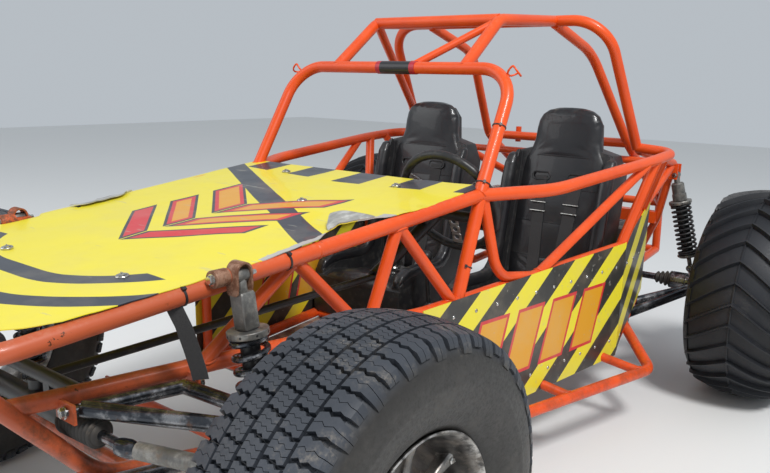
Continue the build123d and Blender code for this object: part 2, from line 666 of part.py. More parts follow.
for side, name in SIDES:
    side_frame = side_frame_left if side > 0 else side_frame_right
    with BuildPart() as front_shock:
        damper(flipped(FRONT_SHOCK_TOP, side), flipped(FRONT_SHOCK_FOOT, side), 110, 19, True, 40, 7)
        cut_away(nose_frame.part)
    save(front_shock, f"front_shock_{name}")

    with BuildPart() as rear_shock:
        damper(flipped(REAR_SHOCK_TOP, side), flipped(REAR_SHOCK_FOOT, side), 110, 26, False, 42, 10)
        cut_away(rear_frame.part)
    save(rear_shock, f"rear_shock_{name}")

    # Trailing arm: pivot bushes, two tubes, bearing housing and the shock's foot
    with BuildPart() as trailing_arm:
        housing_in = flipped((688.0, REAR_AXLE_Y, REAR_TYRE_R), side)
        housing_out = flipped((750.0, REAR_AXLE_Y, REAR_TYRE_R), side)
        straight_tube(housing_in, housing_out, 52)
        for pivot_x, hub_x in ((PIVOT_OUTER, 724.0), (PIVOT_INNER, 712.0)):
            arm_end = (hub_x, REAR_AXLE_Y - 40, 405.0)
            straight_tube(flipped((pivot_x, PIVOT_Y, PIVOT_Z), side), flipped(arm_end, side), 18)
            straight_tube(
                flipped((pivot_x - TAB_GAP + TAB / 2, PIVOT_Y, PIVOT_Z), side),
                flipped((pivot_x + TAB_GAP - TAB / 2, PIVOT_Y, PIVOT_Z), side), 22,
            )
            straight_tube(
                flipped((pivot_x - TAB_GAP - 12, PIVOT_Y, PIVOT_Z), side),
                flipped((pivot_x + TAB_GAP + 12, PIVOT_Y, PIVOT_Z), side), PIVOT_BOLT_R,
            )
        straight_tube(
            flipped((700.0, REAR_AXLE_Y, REAR_TYRE_R), side),
            flipped((REAR_SHOCK_FOOT[0] + 8, REAR_SHOCK_FOOT[1], REAR_SHOCK_FOOT[2] - 20), side), 16,
        )
        with Locations(Location(flipped((720.0, REAR_AXLE_Y, REAR_TYRE_R), side), (0, 90, 0))):
            Cylinder(30 + RUNNING, 140, mode=Mode.SUBTRACT)
        cut_away(lower_frame.part, rear_shock.part, side_frame.part)
    save(trailing_arm, f"trailing_arm_{name}")

    # Axle shaft with its boots, turning with the rear wheel
    with BuildPart() as axle_shaft:
        line = [(x * side, REAR_AXLE_Y, REAR_TYRE_R) for x in (126, 190, 612, 668, 763, 944)]
        straight_tube(line[0], line[1], 40)
        straight_tube(line[1], line[2], 14)
        straight_tube(line[2], line[3], 36)
        straight_tube(line[3], line[4], 30)
        straight_tube(line[4], line[5], STUB_R)
    save(axle_shaft, f"axle_shaft_{name}")

# Transaxle and engine behind the seats
with BuildPart() as transaxle:
    with BuildSketch(Plane.XZ.offset(-860)) as nose_section:
        with Locations((0, 425)):
            RectangleRounded(130, 130, 30)
    with BuildSketch(Plane.XZ.offset(-1000)) as middle_section:
        with Locations((0, 425)):
            RectangleRounded(190, 190, 40)
    with BuildSketch(Plane.XZ.offset(-1260)) as bell_section:
        with Locations((0, 462)):
            RectangleRounded(320, 280, 110)
    loft([nose_section.sketch, middle_section.sketch, bell_section.sketch])
    straight_tube((-120.0, REAR_AXLE_Y, REAR_TYRE_R), (120.0, REAR_AXLE_Y, REAR_TYRE_R), 62)
save(transaxle, "transaxle")

# Engine: one block with two cylinder banks, their fins, the fan housing, filter and pulley
ENGINE_Y = 1420.0
ENGINE_Z = 500.0
BANK_FINS = 7
with BuildPart() as engine_block:
    with Locations((0, ENGINE_Y, ENGINE_Z - 20)):
        Box(250, 318, 230)
    for side, _ in SIDES:
        with Locations((200 * side, ENGINE_Y, ENGINE_Z)):
            Box(200, 280, 110)
        for fin in range(BANK_FINS):
            with Locations(((138 + 19 * fin) * side, ENGINE_Y, ENGINE_Z)):
                Box(7, 296, 146)
        with Locations((294 * side, ENGINE_Y, ENGINE_Z - 6)):
            Box(34, 270, 96)
    with Locations((0, ENGINE_Y - 30, 640)):
        Box(400, 120, 130)
    with Locations(Location((0, ENGINE_Y - 30, 720), (90, 0, 0))):
        Cylinder(110, 120)
    straight_tube((0.0, ENGINE_Y + 20, 720.0), (0.0, ENGINE_Y + 110, 720.0), 52)
    straight_tube((0.0, ENGINE_Y + 60, 590.0), (0.0, ENGINE_Y + 110, 700.0), 30)
    with Locations((0, ENGINE_Y + 80, 600)):
        Box(120, 110, 60)
    with Locations(Location((0, ENGINE_Y + 176, 470), (90, 0, 0))):
        Cylinder(72, 36)
save(engine_block, "engine_block")

# Exhaust: four bent pipes under the banks into one collector and a muffler across the tail
PORT_ROWS = (-85.0, 85.0)
MUFFLER = (0.0, 1625.0, 330.0)
with BuildPart() as exhaust:
    for side, _ in SIDES:
        for row in PORT_ROWS:
            port = (215.0 * side, ENGINE_Y + row, ENGINE_Z - 60)
            down = (225.0 * side, ENGINE_Y + row + 10, 330.0)
            bent_tube([port, down, (170.0 * side, MUFFLER[1], MUFFLER[2])], [50], 19)
    straight_tube((-230.0, MUFFLER[1], MUFFLER[2]), (230.0, MUFFLER[1], MUFFLER[2]), 52)
    straight_tube((-190.0, MUFFLER[1], MUFFLER[2]), (-190.0, MUFFLER[1] + 72, MUFFLER[2] - 14), 21)
    cut_away(engine_block.part, lower_frame.part, rear_frame.part)
save(exhaust, "exhaust")

# Fuel tank strapped behind the seats, above the gearbox
with BuildPart() as fuel_tank:
    with BuildSketch(Plane.YZ.offset(-250)) as tank_end:
        with Locations((880, 655)):
            RectangleRounded(150, 170, 40)
    extrude(tank_end.sketch, amount=500)
    with Locations((150, 880, 745)):
        Cylinder(30, 24)
    for x in (-150, 150):
        with BuildSketch(Plane.YZ.offset(x - 15)) as band:
            with Locations((880, 655)):
                RectangleRounded(156, 176, 43)
        extrude(band.sketch, amount=30)
    straight_tube((-527.0, 868.0, 553.0), (527.0, 868.0, 553.0), BRACE_R)
    cut_away(side_frame_left.part, side_frame_right.part)
save(fuel_tank, "fuel_tank")

# Seats: one bucket each, a pad in side profile cut to its front outline, between two side wings
SEAT_HALF = 220.0
WING = 42.0
SEAT_PAD = ((92, 266), (92, 420), (150, 440), (400, 395), (470, 420), (560, 900), (585, 1100),
            (650, 1100), (640, 880), (560, 400), (500, 266))
SEAT_WING = ((100, 266), (100, 440), (170, 492), (370, 480), (440, 540), (500, 860), (545, 960),
             (600, 900), (560, 400), (500, 266))
SEAT_FRONT = ((SEAT_HALF, 200), (SEAT_HALF, 880), (190, 950), (132, 975), (124, 1060), (90, 1098), (40, 1108))
for side, name in SIDES:
    middle = SEAT_X * side
    with BuildPart() as seat:
        for outline, start, width in (
            (SEAT_PAD, -SEAT_HALF, 2 * SEAT_HALF), (SEAT_WING, -SEAT_HALF, WING),
            (SEAT_WING, SEAT_HALF - WING, WING),
        ):
            with BuildSketch(Plane.YZ.offset(middle + start)) as seat_side:
                with BuildLine():
                    Polyline(*outline, close=True)
                make_face()
            extrude(seat_side.sketch, amount=width)
        with BuildSketch(Plane.XZ.offset(-700)) as front_outline:
            with BuildLine():
                Polyline(
                    *[(middle + x, z) for x, z in SEAT_FRONT],
                    *[(middle - x, z) for x, z in reversed(SEAT_FRONT)], close=True,
                )
            make_face()
        extrude(front_outline.sketch, amount=700, mode=Mode.INTERSECT)
        cut_away(lower_frame.part, main_hoop.part)
    save(seat, f"seat_{name}")

# Pedals on a cross plate, and the shift lever between the seats
with BuildPart() as pedals:
    for x in (190.0, 265.0, 340.0):
        straight_tube((x, -530.0, SILL_Z), (x, -590.0, 430.0), 8)
        with Locations(Plane(origin=(x, -590, 435), z_dir=(0, 1, 0.35))):
            Box(50, 70, 8)
    cut_away(lower_frame.part)
save(pedals, "pedals")

with BuildPart() as shifter:
    with Locations((0, 210, SILL_Z + 25)):
        Box(70, 240, 88)
    straight_tube((0, 170, 310), (0, 130, 560), 8)
    with Locations((0, 129, 572)):
        Sphere(24)
    cut_away(lower_frame.part)
save(shifter, "shifter")
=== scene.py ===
"""Dune buggy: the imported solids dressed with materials, tread, springs, seats and small fittings."""

import json
from math import atan2, cos, hypot, pi, radians, sin, sqrt

import bmesh
import bpy
from mathutils import Matrix, Vector, noise
from mathutils.bvhtree import BVHTree


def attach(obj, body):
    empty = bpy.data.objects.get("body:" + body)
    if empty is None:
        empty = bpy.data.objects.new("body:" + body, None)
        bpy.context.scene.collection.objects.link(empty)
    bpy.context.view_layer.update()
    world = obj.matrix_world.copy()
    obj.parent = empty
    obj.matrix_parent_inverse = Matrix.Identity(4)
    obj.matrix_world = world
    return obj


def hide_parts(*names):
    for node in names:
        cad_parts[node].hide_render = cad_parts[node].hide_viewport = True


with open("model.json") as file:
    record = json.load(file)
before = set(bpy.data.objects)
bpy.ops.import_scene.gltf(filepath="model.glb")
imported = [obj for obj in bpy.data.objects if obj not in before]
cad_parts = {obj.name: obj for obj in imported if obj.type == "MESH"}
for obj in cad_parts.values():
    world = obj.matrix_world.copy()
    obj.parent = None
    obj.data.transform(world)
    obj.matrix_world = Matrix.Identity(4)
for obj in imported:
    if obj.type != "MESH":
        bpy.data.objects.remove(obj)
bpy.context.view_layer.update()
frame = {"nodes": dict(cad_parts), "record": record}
nodes = frame["nodes"]

SIDES = ((1, "left"), (-1, "right"))
# The frame's axes: toward the driver's side, to the rear and up
ACROSS, BACK, UPRIGHT = Vector((1, 0, 0)), Vector((0, 1, 0)), Vector((0, 0, 1))

# Camera, solved from the photograph: the place, turns in degrees and focal length in photo pixels
PHOTO_WIDTH = 770
CAMERA_PLACE = (1.570, -2.130, 1.210)
CAMERA_YAW, CAMERA_PITCH, CAMERA_ROLL = -38.01, -14.47, 1.29
FOCAL_PIXELS = 760.4
SHIFT = (0.00098, 0.0487)


def make_camera():
    """Place the photograph's camera."""
    yaw, pitch, roll = (radians(a) for a in (CAMERA_YAW, CAMERA_PITCH, CAMERA_ROLL))
    ahead = Vector((sin(yaw) * cos(pitch), cos(yaw) * cos(pitch), sin(pitch)))
    level = ahead.cross(UPRIGHT).normalized()
    upright = level.cross(ahead)
    right = cos(roll) * level + sin(roll) * upright
    up = cos(roll) * upright - sin(roll) * level
    data = bpy.data.cameras.new("photo_camera")
    data.sensor_width = 36.0
    data.lens = FOCAL_PIXELS * data.sensor_width / PHOTO_WIDTH
    data.shift_x, data.shift_y = SHIFT
    data.clip_start = 0.05
    camera = bpy.data.objects.new("photo_camera", data)
    turn = Matrix((right, up, -ahead)).transposed().to_4x4()
    camera.matrix_world = Matrix.Translation(CAMERA_PLACE) @ turn
    bpy.context.scene.collection.objects.link(camera)
    bpy.context.scene.camera = camera


make_camera()


# Materials

def by(operation):
    """A method that sends two values through a math node."""
    return lambda self, other: self.look.math(operation, self, other)


class Value:
    """A node's output that adds, multiplies and compares like a number."""

    def __init__(self, look, socket):
        self.look = look
        self.socket = socket

    __add__ = by("ADD")
    __sub__ = by("SUBTRACT")
    __mul__ = by("MULTIPLY")
    __truediv__ = by("DIVIDE")
    __pow__ = by("POWER")
    __lt__ = by("LESS_THAN")
    __gt__ = by("GREATER_THAN")

    def __rsub__(self, other):
        return self.look.math("SUBTRACT", other, self)

    def __abs__(self):
        return self.look.math("ABSOLUTE", self)


class Look:
    """One procedural material, built from a few node calls."""

    def __init__(self, name, color, roughness, metallic=0.0, coat=0.0, specular=0.5):
        self.material = bpy.data.materials.new(name)
        self.material.use_nodes = True
        self.tree = self.material.node_tree
        self.shader = self.tree.nodes["Principled BSDF"]
        self.put("Base Color", color)
        self.put("Roughness", roughness)
        self.put("Metallic", metallic)
        self.put("Coat Weight", coat)
        self.put("Specular IOR Level", specular)
        self.place = self.value("ShaderNodeTexCoord", "Object")

    def node(self, kind, inputs=None, **settings):
        """A new node with its settings, and its inputs by name or number."""
        made = self.tree.nodes.new(kind)
        for key, value in settings.items():
            setattr(made, key, value)
        for key, value in (inputs or {}).items():
            self.feed(made.inputs[key], value)
        return made

    def value(self, kind, output, inputs=None, **settings):
        """One output of a new node."""
        return Value(self, self.node(kind, inputs, **settings).outputs[output])

    def feed(self, socket, value):
        """Link a value, or set a plain number or colour."""
        if isinstance(value, Value):
            self.tree.links.new(value.socket, socket)
        elif hasattr(socket.default_value, "__len__") and len(socket.default_value) == 4:
            socket.default_value = (*value[:3], 1.0)
        else:
            socket.default_value = value

    def put(self, name, value):
        """Feed one input of the shader."""
        self.feed(self.shader.inputs[name], value)

    def math(self, operation, a, b=0.0):
        """One or two values through a math node."""
        return self.value("ShaderNodeMath", 0, {0: a, 1: b}, operation=operation)

    def axes(self, place=None):
        """The x, y and z of a place."""
        made = self.node("ShaderNodeSeparateXYZ", {0: place or self.place})
        return tuple(Value(self, output) for output in made.outputs)

    def stretched(self, scale):
        """The place, scaled differently along each axis."""
        return self.value("ShaderNodeMapping", 0, {"Vector": self.place, "Scale": scale})

    def noise(self, scale, detail=4.0, rough=0.6, place=None):
        """Cloudy noise at a scale."""
        inputs = {"Vector": place or self.place, "Scale": scale, "Detail": detail, "Roughness": rough}
        return self.value("ShaderNodeTexNoise", "Fac", inputs)

    def cells(self, scale, place):
        """The distance to the nearest of many scattered points."""
        return self.value("ShaderNodeTexVoronoi", "Distance", {"Vector": place, "Scale": scale})

    def ramp(self, value, low, high):
        """A value eased from 0 at low to 1 at high."""
        inputs = {"Value": value, "From Min": low, "From Max": high}
        return self.value("ShaderNodeMapRange", 0, inputs, interpolation_type="SMOOTHSTEP")

    def patches(self, low, high, *grain):
        """Noise eased from 0 at low to 1 at high."""
        return self.ramp(self.noise(*grain), low, high)

    def within(self, value, low, high):
        """1 where a value lies between two limits."""
        inputs = {0: value, 1: (low + high) / 2, 2: (high - low) / 2}
        return self.value("ShaderNodeMath", 0, inputs, operation="COMPARE")

    def mix(self, amount, a, b):
        """Colour a, turned into b by an amount from 0 to 1."""
        return self.value("ShaderNodeMix", 2, {0: amount, 6: a, 7: b}, data_type="RGBA")

    def up_facing(self, low=0.35, high=0.95):
        """1 where the surface faces the sky, for settled dust."""
        return self.ramp(self.axes(self.value("ShaderNodeNewGeometry", "Normal"))[2], low, high)

    def worn_edges(self):
        """1 along convex edges."""
        return self.ramp(self.value("ShaderNodeNewGeometry", "Pointiness"), 0.505, 0.56)

    def finished(self, color, roughness, height, strength, distance, metallic=None):
        """Put in the colour, roughness and bump, and hand back the material."""
        self.put("Base Color", color)
        self.put("Roughness", roughness)
        if metallic is not None:
            self.put("Metallic", metallic)
        inputs = {"Height": height, "Strength": strength, "Distance": distance}
        self.put("Normal", self.value("ShaderNodeBump", 0, inputs))
        return self.material


ORANGE = (0.79, 0.088, 0.009)
ORANGE_DULL = (0.42, 0.098, 0.040)
# Dark brown for grime and for painted shade under the hood and low on the frame.
RUST = (0.085, 0.030, 0.012)
GRIME_AND_SHADE = (0.060, 0.036, 0.022)
SAND = (0.52, 0.42, 0.30)
YELLOW = (0.82, 0.70, 0.030)
SLATE = (0.030, 0.036, 0.050)
CHARCOAL = (0.032, 0.030, 0.026)
MOTIF_RED = (0.62, 0.022, 0.030)
MOTIF_GOLD = (0.72, 0.33, 0.012)
STEEL = (0.10, 0.10, 0.105)


def orange_paint():
    """Gloss orange-red tube paint: duller and chipped toward the nose, with rust, a little dust, and dark
    brown blotches of grime and painted shade under the hood and low down.
    """
    look = Look("orange_paint", ORANGE, 0.3, coat=0.12, specular=0.4)
    fade = look.ramp(look.axes()[1], -0.75, -1.35)
    low_down = look.ramp(look.axes()[2], 0.45, 0.2)
    cloud = look.noise(5.0)
    grain = look.noise(90.0, 6.0, 0.7)
    color = look.mix(look.ramp(cloud, 0.35, 0.75) * 0.5, ORANGE, (0.58, 0.045, 0.006))
    color = look.mix(fade * 0.85, color, ORANGE_DULL)
    wear = fade * 0.07 + low_down * 0.03
    chips = look.ramp(look.noise(34.0, 5.0, 0.75) + wear, 0.69, 0.72)
    chips = chips * look.patches(0.5, 0.62, 7.0, 2.0)
    color = look.mix(chips, color, RUST)
    scuffs = look.patches(0.66, 0.72, 22.0, 6.0, 0.8, look.stretched((1.0, 0.25, 1.0)))
    color = look.mix(scuffs * 0.35, color, (0.33, 0.05, 0.015))
    dust = look.up_facing() * look.ramp(grain, 0.42, 0.75)
    color = look.mix(dust * 0.16, color, SAND)
    # Painted shade as well as grime: dark brown blotches toward the nose below the hood's height, and low on
    # the frame.
    below = look.ramp(look.axes()[2], 0.74, 0.50)
    darkening = look.ramp(look.axes()[1], -0.95, -1.35) * below + low_down * 0.55
    blotch = look.patches(0.4, 0.66, 13.0, 6.0, 0.75)
    color = look.mix(darkening * blotch * 0.85, color, GRIME_AND_SHADE)
    return look.finished(color, look.noise(14.0) * 0.3 + 0.22, grain * 0.25 - chips, 0.25, 0.0006)


def dark_steel():
    """Worn dark steel of the arms: shiny where rubbed, with rust blooms and grey dust."""
    look = Look("worn_dark_steel", STEEL, 0.3, metallic=0.9)
    cloud = look.noise(16.0, 5.0, 0.7)
    rust = look.patches(0.56, 0.7, 26.0, 6.0, 0.75) * 0.8
    color = look.mix(look.ramp(cloud, 0.45, 0.62), (0.060, 0.065, 0.075), (0.30, 0.30, 0.31))
    color = look.mix(rust, color, (0.10, 0.045, 0.022))
    dust = look.up_facing(0.2, 1.0) * look.patches(0.45, 0.8, 60.0, 6.0, 0.7)
    color = look.mix(dust * 0.22, color, (0.4, 0.34, 0.27))
    return look.finished(color, cloud * 0.28 + 0.1, look.noise(240.0, 4.0), 0.12, 0.0005,
                         metallic=0.92 - rust * 0.7)


def dusty_alloy():
    """Grey cast or drawn aluminium with sand in its grain."""
    look = Look("dusty_alloy", (0.42, 0.41, 0.39), 0.45, metallic=0.8)
    cloud = look.noise(20.0, 5.0, 0.7)
    streaks = look.noise(90.0, 3.0, 0.6, look.stretched((1.0, 1.0, 0.12)))
    color = look.mix(look.ramp(cloud, 0.4, 0.7), (0.17, 0.165, 0.155), (0.40, 0.385, 0.35))
    color = look.mix(look.ramp(streaks, 0.5, 0.7) * 0.4, color, (0.12, 0.11, 0.1))
    darkening = look.patches(0.52, 0.68, 38.0, 6.0, 0.75)
    color = look.mix(darkening * 0.6, color, (0.19, 0.125, 0.075))
    return look.finished(color, cloud * 0.35 + 0.28, streaks, 0.15, 0.0006, metallic=0.75 - darkening * 0.5)


def sheet_alloy():
    """Brushed floor sheet, scratched along its length and dusted with sand."""
    look = Look("brushed_sheet", (0.45, 0.44, 0.42), 0.4, metallic=0.9)
    streaks = look.noise(160.0, 4.0, 0.6, look.stretched((1.0, 0.04, 1.0)))
    dust = look.up_facing() * look.patches(0.4, 0.66, 11.0, 6.0, 0.7)
    color = look.mix(look.ramp(streaks, 0.4, 0.65), (0.26, 0.255, 0.24), (0.50, 0.49, 0.46))
    color = look.mix(dust * 0.8, color, SAND)
    return look.finished(color, streaks * 0.3 + 0.25, streaks, 0.1, 0.0004, metallic=0.9 - dust * 0.8)


def tyre_rubber(name, color, wall, dusty):
    """Tyre rubber: greyed by dust in patches, with a browner, plainer side wall below the tread."""
    look = Look(name, color, 0.6, specular=0.45)
    _, y, z = look.axes()
    radius = look.math("SQRT", y ** 2.0 + z ** 2.0)
    tread = look.ramp(radius, 0.355, 0.385)
    patch = look.patches(0.52, 0.68, 9.0, 5.0, 0.7) * dusty
    fine = look.patches(0.35, 0.8, 150.0, 4.0, 0.7)
    light = tuple(value * 1.6 for value in color)
    shade = look.mix(look.patches(0.3, 0.7, 4.0, 3.0), color, light)
    scuff = look.patches(0.45, 0.75, 30.0, 5.0, 0.7, look.stretched((0.3, 1.0, 1.0)))
    side = look.mix(scuff * 0.7, wall, tuple((value * 2.0 for value in wall)))
    shade = look.mix(tread, side, shade)
    patch = patch * (tread * 0.75 + 0.25)
    color = look.mix(patch * fine, shade, (0.3, 0.26, 0.21))
    return look.finished(color, fine * 0.25 + 0.42, look.noise(420.0, 3.0, 0.6), 0.18, 0.0004)


def rim_alloy():
    """Dark alloy with scraped bright edges and brake dust."""
    look = Look("scuffed_rim_alloy", (0.16, 0.155, 0.15), 0.3, metallic=0.9)
    edge = look.worn_edges() * look.patches(0.35, 0.6, 40.0, 5.0, 0.7)
    scrape = look.patches(0.6, 0.66, 70.0, 6.0, 0.8)
    color = look.mix(look.patches(0.4, 0.65, 13.0), (0.085, 0.082, 0.08), (0.2, 0.19, 0.18))
    color = look.mix(look.math("MAXIMUM", edge, scrape * 0.7), color, (0.58, 0.56, 0.53))
    dust = look.patches(0.46, 0.7, 18.0, 6.0, 0.7) * 0.55
    color = look.mix(dust, color, (0.27, 0.22, 0.17))
    return look.finished(color, look.noise(30.0) * 0.3 + 0.2, look.noise(300.0), 0.08, 0.0004,
                         metallic=0.9 - dust)


def black_vinyl():
    """Seat vinyl with a leather-like grain and dusty creases."""
    look = Look("black_vinyl", (0.016, 0.016, 0.018), 0.4, coat=0.22)
    grain = look.cells(420.0, look.place)
    worn = look.patches(0.45, 0.75, 8.0, 5.0, 0.65)
    color = look.mix(worn * 0.6, (0.013, 0.013, 0.015), (0.034, 0.033, 0.032))
    dust = look.up_facing() * look.patches(0.5, 0.75, 30.0, 6.0, 0.7)
    color = look.mix(dust * 0.25, color, SAND)
    return look.finished(color, worn * 0.2 + 0.3, grain, 0.35, 0.0005)


def webbing():
    """Black harness webbing with its woven ribs."""
    look = Look("harness_webbing", (0.03, 0.03, 0.033), 0.8)
    weave = look.cells(700.0, look.stretched((1.0, 0.5, 0.5)))
    color = look.mix(look.ramp(weave, 0.1, 0.6), (0.010, 0.010, 0.011), (0.028, 0.026, 0.026))
    look.put("Sheen Weight", 0.3)
    return look.finished(color, 0.8, weave, 0.4, 0.0005)


def dark_plastic():
    """Matte black plastic and rubber parts, lightly scuffed."""
    look = Look("scuffed_black_plastic", (0.02, 0.02, 0.021), 0.5)
    scuff = look.patches(0.5, 0.72, 32.0, 6.0, 0.75)
    color = look.mix(scuff * 0.6, (0.016, 0.016, 0.017), (0.085, 0.078, 0.068))
    return look.finished(color, scuff * 0.3 + 0.4, look.noise(350.0, 3.0), 0.15, 0.0004)


def rusty_steel():
    """Hot, unpainted steel: brown rust with darker scale and grey dust."""
    look = Look("rusted_steel", (0.13, 0.06, 0.035), 0.7, metallic=0.35)
    scale = look.patches(0.42, 0.66, 18.0, 6.0, 0.7)
    color = look.mix(scale, (0.16, 0.068, 0.034), (0.055, 0.040, 0.034))
    grey = look.patches(0.55, 0.72, 60.0, 5.0, 0.7) * 0.5
    color = look.mix(grey, color, (0.26, 0.20, 0.155))
    return look.finished(color, 0.78 - scale * 0.25, look.noise(160.0, 6.0, 0.75), 0.35, 0.0008,
                         metallic=scale * 0.5)


def yoke_steel():
    """Old orange paint rusted through to brown steel."""
    look = Look("rusted_orange_yoke", ORANGE_DULL, 0.6, metallic=0.1)
    rust = look.patches(0.42, 0.6, 55.0, 6.0, 0.75)
    near_side = look.axes()[0] > 0.0
    color = look.mix(near_side, (0.52, 0.095, 0.022), (0.30, 0.16, 0.10))
    color = look.mix(rust, color, (0.15, 0.058, 0.028))
    grey = look.patches(0.56, 0.7, 120.0, 5.0, 0.7) * 0.5
    color = look.mix(grey, color, (0.30, 0.22, 0.16))
    return look.finished(color, rust * 0.25 + 0.45, look.noise(220.0, 6.0, 0.75), 0.3, 0.0007)


def brushed_spokes():
    """Brushed aluminium with fine lines along one way."""
    look = Look("brushed_spokes", (0.50, 0.49, 0.48), 0.3, metallic=1.0)
    lines = look.noise(260.0, 3.0, 0.6, look.stretched((0.08, 1.0, 1.0)))
    color = look.mix(look.ramp(lines, 0.4, 0.65), (0.36, 0.355, 0.35), (0.60, 0.59, 0.57))
    return look.finished(color, lines * 0.25 + 0.2, lines, 0.12, 0.0003)


def torn_alloy():
    """Bare aluminium where the painted sheet tore: pale and streaked."""
    look = Look("torn_bare_alloy", (0.62, 0.61, 0.58), 0.42, metallic=0.55)
    streaks = look.noise(70.0, 4.0, 0.6, look.stretched((1.0, 0.15, 1.0)))
    color = look.mix(look.ramp(streaks, 0.38, 0.66), (0.40, 0.39, 0.36), (0.68, 0.67, 0.63))
    return look.finished(color, streaks * 0.3 + 0.28, streaks, 0.2, 0.0006)


def bar_wrap():
    """Vinyl wrap on the windshield bar: black with a red end each side."""
    look = Look("bar_wrap_vinyl", (0.02, 0.02, 0.022), 0.4, coat=0.15)
    x = look.axes()[0]
    middle = look.within(x, -0.058, 0.062)
    color = look.mix(middle, (0.42, 0.012, 0.030), (0.016, 0.015, 0.018))
    scuff = look.patches(0.6, 0.72, 60.0, 5.0, 0.75)
    color = look.mix(scuff * 0.35, color, (0.2, 0.17, 0.15))
    return look.finished(color, scuff * 0.3 + 0.32, look.noise(90.0), 0.15, 0.0004)


def boot_rubber():
    """Perished black boot rubber, brown with dust between its folds."""
    look = Look("dusty_boot_rubber", (0.03, 0.028, 0.026), 0.75)
    dust = look.up_facing(0.0, 0.9) * look.patches(0.4, 0.7, 45.0, 6.0, 0.75)
    color = look.mix(look.patches(0.4, 0.7, 12.0), (0.024, 0.022, 0.02), (0.055, 0.048, 0.042))
    color = look.mix(dust * 0.6, color, (0.22, 0.17, 0.12))
    return look.finished(color, dust * 0.2 + 0.62, look.noise(220.0, 4.0), 0.2, 0.0004)


def cast_engine():
    """Oily grey engine castings."""
    look = Look("oily_casting", (0.15, 0.15, 0.148), 0.5, metallic=0.6)
    oil = look.patches(0.45, 0.68, 7.0, 5.0, 0.65)
    color = look.mix(oil * 0.85, (0.24, 0.235, 0.225), (0.045, 0.036, 0.028))
    dust = look.up_facing() * look.patches(0.45, 0.7, 26.0, 6.0, 0.7)
    color = look.mix(dust * 0.7, color, SAND)
    return look.finished(color, 0.62 - oil * 0.3, look.noise(130.0, 5.0, 0.7), 0.3, 0.0008,
                         metallic=0.6 - dust * 0.5)


def bright_steel():
    """Zinc bolts, rods and buckles."""
    look = Look("zinc_steel", (0.55, 0.54, 0.52), 0.3, metallic=1.0)
    spots = look.patches(0.52, 0.68, 90.0, 5.0, 0.7)
    color = look.mix(spots * 0.7, (0.56, 0.55, 0.52), (0.2, 0.13, 0.08))
    return look.finished(color, spots * 0.35 + 0.22, look.noise(300.0), 0.1, 0.0003)


def scratched(look, color, up_dust=0.12):
    """Finish a painted sheet: fine scratches, chipped spots, dust and faint waviness."""
    lines = look.noise(55.0, 3.0, 0.5, look.stretched((0.16, 1.0, 1.0)))
    scratches = look.ramp(lines, 0.655, 0.665) * look.patches(0.5, 0.6, 6.0, 2.0)
    chips = look.patches(0.71, 0.72, 48.0, 5.0, 0.8) * look.patches(0.48, 0.6, 3.0)
    color = look.mix(scratches * 0.35, color, (0.45, 0.43, 0.36))
    color = look.mix(chips, color, (0.32, 0.31, 0.29))
    dust = look.patches(0.42, 0.72, 7.0, 6.0, 0.65) * up_dust
    color = look.mix(dust, color, SAND)
    return look.finished(color, look.noise(12.0) * 0.25 + 0.28, look.noise(9.0, 2.0) - chips, 0.25, 0.002)


STRIPE_LEAN = 1.25
STRIPE_PITCH = 0.232
STRIPE_START = 0.150
BAR_PITCH = 0.184
PANEL_FRONT_Y = -0.560


def panel_paint():
    """Side panels: diagonal yellow and charcoal stripes under a row of plain slanted bars."""
    look = Look("striped_panel_paint", YELLOW, 0.35, coat=0.15)
    _, y, z = look.axes()
    lean = y - PANEL_FRONT_Y - z * STRIPE_LEAN
    phase = lean - STRIPE_START
    turn = look.math("FRACT", (phase + 10 * STRIPE_PITCH) / STRIPE_PITCH)
    color = look.mix(turn < 0.48, CHARCOAL, YELLOW)
    slant = y - (z - 0.43) * 0.3
    bar = look.math("FRACT", (slant + 10 * BAR_PITCH) / BAR_PITCH)
    for edge, tint in ((0.0, MOTIF_RED), (0.011, MOTIF_GOLD)):
        share = edge / BAR_PITCH
        inside = look.within(bar, 0.12 + share, 0.88 - share) * look.within(z, 0.325 + edge, 0.535 - edge)
        inside = inside * look.within(slant, -0.36, 0.375)
        color = look.mix(inside, color, tint)
    return scratched(look, color, 0.16)


HOOD_BANDS = ((-1.415, -1.365), (-1.540, -1.490))
HOOD_CORNER = 0.30
HOOD_HALF = 0.37
HOOD_NOSE = 1.39


def nose_bands(look, color, aside, y):
    """Slate bands that follow the hood's rounded nose."""
    inner = HOOD_NOSE - HOOD_CORNER
    corner_x = look.math("MAXIMUM", aside - (HOOD_HALF - HOOD_CORNER), 0.0)
    corner_y = look.math("MAXIMUM", y * -1.0 - inner, 0.0)
    reach = look.math("SQRT", corner_x ** 2.0 + corner_y ** 2.0)
    front = y < -1.26
    for near, far in HOOD_BANDS:
        color = look.mix(look.within(reach, -inner - far, -inner - near) * front, color, SLATE)
    return color


def chevrons(look, color, aside, y):
    """Three plain nested chevrons with slate outlines, the two larger ones gold in the middle."""
    point = y + aside * -0.85
    outline, red, gold = (0.010, SLATE), (0.0, MOTIF_RED), (-0.014, MOTIF_GOLD)
    for middle, half, layers in (
        (-0.80, 0.052, (outline, red, gold)),
        (-0.965, 0.040, (outline, red, gold)),
        (-1.10, 0.030, (outline, red)),
    ):
        for edge, tint in layers:
            bar = look.within(point, middle - half - edge, middle + half + edge)
            bar = bar * (aside < 0.215 + edge) * (aside > 0.012 - edge)
            color = look.mix(bar, color, tint)
    return color


